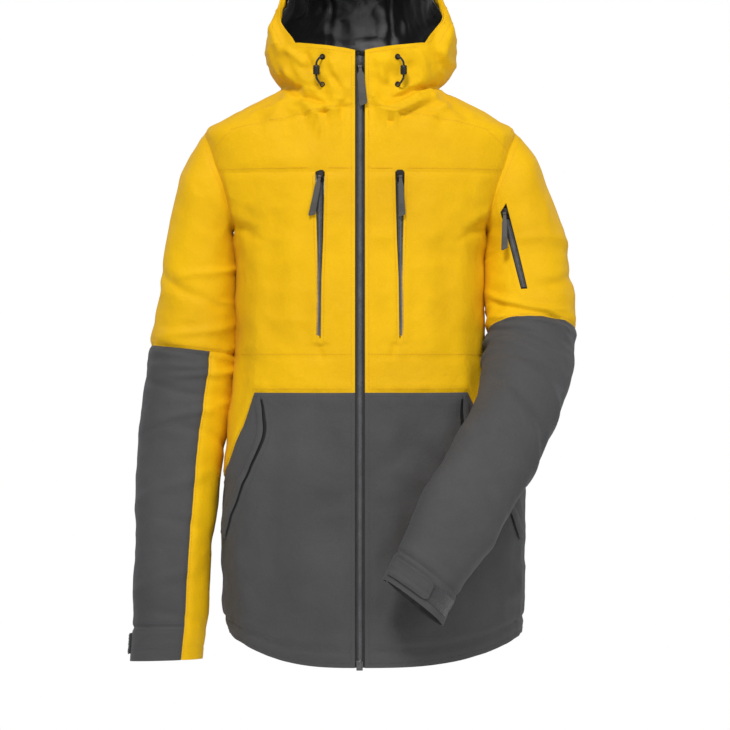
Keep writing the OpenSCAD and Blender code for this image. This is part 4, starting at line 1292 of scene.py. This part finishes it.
for side, word in SIDES:
    z, k = np.meshgrid(np.linspace(-405, -592, 110), np.linspace(0, 1, 11), indexing="ij")
    taper = np.clip(np.minimum(-405 - z, z + 592) / 9, 0.35, 1) ** 0.5
    a = welt_angle(z, 0.003 + 0.043 * k * taper)
    swell = np.sin(np.pi * np.clip(k * 0.85 + 0.15, 0, 1)) ** 0.7
    p, n = body_point(sided(side, a), z, 1.5 + 1.5 * swell * taper)
    rides(cloth("pocket_welt_" + word, p, n, 1.5, GREY), BODY, "pocket_welt_" + word)
    # painted shade: a strip of the black lining laid on the shell in front of the welt's free edge
    # stands for the shadowed gap under the welt
    z, k = np.meshgrid(np.linspace(-409, -588, 100), np.linspace(0, 1, 7), indexing="ij")
    wide = np.interp(z, [-588, -520, -470, -440, -409], [0.008, 0.012, 0.02, 0.024, 0.014])
    p, n = body_point(sided(side, welt_angle(z, 0.006 - wide * (1 - k))), z, 0.5)
    rides(cloth("pocket_mouth_painted_shade_" + word, p, n, 0.9, LINING), BODY)


def eyelet_place(side, k):
    return shift(side * EYELET_X, *EYELET_YZ[k]) @ rotation("Z", side * 20) @ rotation("X", 90)


GROMMET = [(1.95, -2.6), (2.6, -2.6), (2.65, 0.3), (3.7, 0.45), (3.9, 0.8), (3.75, 1.2), (3.3, 1.5),
           (2.7, 1.6), (2.15, 1.35), (1.95, 0.9)]
# painted shade: black discs set a little way inside the eyelets stand for the dark holes
EYELET_SHADE_DISC = [(0.01, 0.25), (2.1, 0.25), (2.1, 0.6), (0.01, 0.6)]
rings, hole_shades = Pieces(), Pieces()
for side, _ in SIDES:
    for k in (0, 1):
        rings.revolve(GROMMET, 44, eyelet_place(side, k))
        hole_shades.revolve(EYELET_SHADE_DISC, 28, eyelet_place(side, k))
rides(rings.make("eyelets", DARK_METAL), BODY, "eyelets", slot="eyelet_metal")
rides(hole_shades.make("eyelet_painted_shades", LINING), BODY)

CORD_ROUTE = [(48, -79, 39), (49, -82, 39), (50.5, -86, 39), (52.5, -89.5, 37.6),
              (55, -91.5, 34.5), (56.6, -92, 31.5), (57, -92, 29), (57, -92, 25), (57, -92, 21),
              (57, -92, 17), (57, -92, 13), (56.6, -92, 10.5), (55, -91.3, 7.4), (52.6, -88.6, 4.2),
              (50.4, -84.6, 3), (49, -80.8, 3), (48, -78, 3)]
# the lock is the same above and below its middle
HALF_BARREL = [(4.1, 0.25), (4.5, 0.6), (4.5, 2.1), (4.1, 2.5), (4.1, 3.0), (4.45, 3.4), (4.2, 4.9),
               (3.9, 5.7), (3.2, 6.2), (1.75, 6.2)]
BARREL = [(r, -z) for r, z in HALF_BARREL[::-1]] + HALF_BARREL
for side, word in SIDES:
    curve = bpy.data.curves.new("hood_cord_" + word, "CURVE")
    curve.dimensions = "3D"
    curve.bevel_depth, curve.bevel_resolution, curve.resolution_u = 1.4 * MM, 5, 8
    curve.use_fill_caps = True
    line = curve.splines.new("NURBS")
    line.points.add(len(CORD_ROUTE) - 1)
    for q, (x, y, z) in zip(line.points, CORD_ROUTE):
        q.co = (side * x * MM, y * MM, z * MM, 1)
    line.order_u, line.use_endpoint_u = 3, True
    curve.materials.append(CORD)
    cord = add_object("hood_drawcord_" + word, curve)
    rides(cord, BODY, "hood_cord_" + word)
    lock = Pieces()
    lock.revolve(BARREL, 44, shift(side * 57, -92, 21))
    lock = lock.make("cord_lock_barrel_" + word, PLASTIC)
    rides(lock, "cord_lock_" + word, "cord_lock_" + word)

# hanger loop: a tape folded into a long ring
u = np.linspace(0, 2 * np.pi, 97)[:-1]
cx, cz = 34.2 * spow(np.cos(u), 0.45), -7 + 6.2 * spow(np.sin(u), 0.45)
loop = np.stack([cx, 0 * cx + 44, cz], -1)
along = unit(np.roll(loop, -1, 0) - np.roll(loop, 1, 0))
out = np.cross(along, [0, 1, 0])
section = [(-3, -0.35), (-2.8, -0.7), (2.8, -0.7), (3, -0.35), (3, 0.35), (2.8, 0.7), (-2.8, 0.7),
           (-3, 0.35)]
v = np.stack([loop + out * b + np.array([0, 1, 0]) * a for a, b in section], 1).reshape(-1, 3)
f = [[i * 8 + k, i * 8 + (k + 1) % 8, ((i + 1) % 96) * 8 + (k + 1) % 8, ((i + 1) % 96) * 8 + k]
     for i in range(96) for k in range(8)]
strap = Pieces()
strap.add(v, f)
rides(strap.make("hanger_loop_tape", BINDING), BODY, "hanger_loop")


# ---------------------------------------------------------------- cuff tabs
def arm_at(side, t, row, lift):
    """Point on a sleeve at angle t and a fractional row of its grid, lifted off the surface."""
    arm = ARMS[side]
    col = np.interp(t, arm["t"], np.arange(len(arm["t"])))
    r0 = np.clip(np.floor(row).astype(int), 0, arm["end"] - 1)
    c0 = np.clip(np.floor(col).astype(int), 0, len(arm["t"]) - 2)
    fr, fc = (row - r0)[..., None], (col - c0)[..., None]
    get = lambda g: mix(mix(g[r0, c0], g[r0, c0 + 1], fc),
                        mix(g[r0 + 1, c0], g[r0 + 1, c0 + 1], fc), fr)
    n = unit(get(arm["n"]))
    return get(arm["p"]) + n * np.asarray(lift)[..., None], n


def cuff_tab(side, word):
    arm = ARMS[side]
    a0, a1, a2 = arm["at"][arm["wrist"]:arm["wrist"] + 3]
    top, foot = mix(a0, a1, 0.4), mix(a1, a2, 0.64)
    mid, half = (top + foot) / 2, (foot - top) / 2

    def tab_point(s, k, lift):
        """s runs from the sewn end to the free end, k from -1 to 1 across."""
        curve = np.sqrt(np.maximum(0, 1 - (np.clip((s - 0.86) / 0.14, 0, 1) * 0.75) ** 2))
        stand = lift + (2.6 if side < 0 else 0.6) * np.sin(np.pi * s * 0.9) ** 2
        return arm_at(side, mix(*arm["tab"], s), mid + half * k * curve, stand)

    s, k = np.meshgrid(np.linspace(0, 1, 40), np.linspace(-1, 1, 15))
    edge = np.minimum(1 - np.abs(k), np.minimum(s, 1 - s) * 3)
    p, n = tab_point(s, k, 2.3 + 0.5 * np.clip(edge / 0.25, 0, 1) ** 0.6)
    rides(cloth("cuff_tab_" + word, p, n, 1.7, GREY), "cuff_tab_" + word, "cuff_tab_" + word)
    b = Pieces()
    s, k = np.linspace(0.04, 0.93, 40), np.linspace(0.74, -0.74, 40)
    for line_s, line_k in ((s, 0.78), (0.93 + 0 * k, k), (s, -0.78), (0.06 + 0 * k, k)):
        b.sew(*tab_point(line_s, line_k, 2.85))
    rides(b.make("cuff_tab_stitching_" + word, THREAD_GREY), "cuff_tab_" + word)
    if side > 0:
        t, k = np.meshgrid(np.linspace(82, 158, 30), np.linspace(-0.9, 0.9, 13))
        pile = 0.75 + 0.35 * noise(np.stack([t, k * 30, 0 * t], -1), 3.1, 5)
        p, n = arm_at(side, t, mid + half * k, pile)
        rides(cloth("cuff_loop_strip_" + word, p, n, 0.7, PILE), "forearm_" + word)


for side, word in SIDES:
    cuff_tab(side, word)


# ---------------------------------------------------------------- stitching
def body_line(b, side, a, z):
    a, z = np.broadcast_arrays(np.asarray(a, float), np.asarray(z, float))
    b.sew(*body_point(sided(side, a), z, STITCH_LIFT))


def sleeve_line(b, side, t, row):
    t, row = np.broadcast_arrays(np.asarray(t, float), np.asarray(row, float))
    b.sew(*arm_at(side, t, row, STITCH_LIFT))


yellow, grey = Pieces(), Pieces()
HEM_ROWS = ((HEM_BAND, grey), (6, grey))
for side, _ in SIDES:
    s = np.linspace(0.01, 0.995, 160)
    for height, rows in ((yoke_seam, [(5, yellow)]), (chest_line, [(5, yellow)]),
                         (light_line, [(4, yellow)]), (split_seam, [(5, yellow), (-5, grey)]),
                         (front_hem, HEM_ROWS)):
        for offset, b in rows:
            z = height(s) + offset
            a = front_angle(z, side, s)
            if height is chest_line:
                for part in (a < angle_at(45, z, side), a > angle_at(60, z, side)):
                    body_line(b, side, a[part], z[part])
            else:
                body_line(b, side, a, z)
    for b, z in ((yellow, np.linspace(40, -398, 300)), (grey, np.linspace(-402, -750, 240))):
        body_line(b, side, angle_at(11.5, z, side), z)
    z = np.linspace(-116, -336, 150)
    for k in (-1, 1):
        body_line(yellow, side, angle_at(CHEST_ZIP_X + k * (half_gap(z) + 3.6), z, side), z)
    body_line(yellow, side, angle_at(np.linspace(47, 57, 8), -338.0, side), -338.0)
    t = np.radians(np.linspace(8, 352, 300))
    body_line(yellow, side, 90 - (ARMHOLE_REACH + 3) * np.sin(t),
              ARMHOLE_Z - (ARMHOLE_HALF + 5) * np.cos(t))
    z = np.linspace(-407, -588, 130)
    body_line(grey, side, welt_angle(z, -0.045), z)
    a = np.linspace(4, 37, 50)
    body_line(yellow, side, a, collar_ends(a) - 5)
    z = np.linspace(58, 300, 200)
    for a in (rim_angle(z) + 3.2, rim_angle(z) + 12.5, hood_seam(z) - 2.6, hood_seam(z) + 2.6):
        body_line(yellow, side, a, z)
s = np.linspace(0.01, 0.99, 260)
for height, rows in ((back_yoke_line, [(5, yellow)]), (back_split, [(5, yellow), (-5, grey)]),
                     (back_hem, HEM_ROWS)):
    for offset, b in rows:
        z = height(s) + offset
        body_line(b, 1, back_angle(z, s), z)
rides(yellow.make("body_stitching_yellow", THREAD_YELLOW), BODY)
rides(grey.make("body_stitching_grey", THREAD_GREY), BODY)


def sewn(name, material, side, lines):
    """One piece of stitching from lines on a sleeve, each an angle and a row."""
    b = Pieces()
    for t, row in lines:
        sleeve_line(b, side, t, row)
    return b.make(f"{name}_{ARMS[side]['word']}", material)


for side, word in SIDES:
    arm = ARMS[side]
    e, w, end, t = arm["e"], arm["w"], arm["end"], arm["t"]
    s0, s1 = arm["split"]
    around = np.linspace(t[0], t[-1], 140)
    outer = np.linspace(s0 + 0.5, s1 - 0.5, 100)
    down = np.linspace(e + 2, w, 120)
    tail = np.linspace(e + 2, end - 1, 170)
    upper = (around, 2), (around, e - 1.7)
    outside = (outer, e + 1.7), (outer, w - 1.6), (s0 + 2.4, down), (s1 - 2.4, down)
    at_cuff = (outer, w + 1.6), (outer, end - 6)
    inside = (s0 - 2.6, tail), (t[0] + 2.6, tail)
    labelled(upper_blend(sewn("sleeve_stitching", THREAD_YELLOW, side, upper), side))
    labelled(fore_blend(sewn("forearm_stitching", THREAD_GREY, side, outside)))
    rides(sewn("cuff_stitching", THREAD_GREY, side, at_cuff), "forearm_" + word)
    labelled(fore_blend(sewn("forearm_stitching_inner", THREAD_YELLOW, side, inside)))


# ---------------------------------------------------------------- floor, light and camera
def area_light(name, place, size, power, aim=(0, 0, -0.3)):
    light = bpy.data.lights.new(name, "AREA")
    light.shape, light.size, light.energy = "DISK", size, power
    o = add_object(name, light)
    o.location = place
    o.rotation_euler = (Vector(aim) - Vector(place)).to_track_quat("-Z", "Y").to_euler()


FLOOR_Z, FLOOR_R = -1.3, 4.5
disc = bpy.data.meshes.new("floor")
turns = [k * math.pi / 48 for k in range(96)]
disc.from_pydata([(FLOOR_R * math.cos(a), FLOOR_R * math.sin(a), FLOOR_Z) for a in turns], [],
                 [list(range(96))])
ground = Shader("floor_paper", 0.9, specular=0.1)
ground.colour(ground.noise(3.0), (247, 247, 247), (250, 250, 250))
disc.materials.append(ground.mat)
add_object("floor", disc)

world = bpy.data.worlds.new("studio")
world.use_nodes = True
sky = world.node_tree.nodes["Background"]
sky.inputs["Color"].default_value = (1, 1, 1, 1)
sky.inputs["Strength"].default_value = 0.40
white = world.node_tree.nodes.new("ShaderNodeBackground")
white.inputs["Strength"].default_value = 1.0
white.inputs["Color"].default_value = (1, 1, 1, 1)
seen = world.node_tree.nodes.new("ShaderNodeLightPath")
both = world.node_tree.nodes.new("ShaderNodeMixShader")
world.node_tree.links.new(seen.outputs["Is Camera Ray"], both.inputs[0])
world.node_tree.links.new(sky.outputs[0], both.inputs[1])
world.node_tree.links.new(white.outputs[0], both.inputs[2])
world.node_tree.links.new(both.outputs[0], world.node_tree.nodes["World Output"].inputs["Surface"])
bpy.context.scene.world = world
bpy.context.scene.view_settings.view_transform = "Standard"

area_light("key", (-0.45, -2.5, 2.4), 1.0, 88, aim=(0, 0, -0.35))
area_light("fill", (2.0, -3.0, 0.5), 2.0, 24)
area_light("back_left", (-2.4, 2.0, 1.2), 1.8, 12)
area_light("back_right", (2.4, 2.4, 0.8), 1.8, 12)

# a width of 0.949 m fills the view at 5 m
lens = bpy.data.cameras.new("camera")
lens.sensor_width = 36
lens.lens = 36 * 5.0 / 0.949
lens.clip_end = 100
camera = add_object("camera", lens)
camera.location = (0.0065, -5.11, -0.364)
camera.rotation_euler = (math.radians(90), 0, 0)
bpy.context.scene.camera = camera
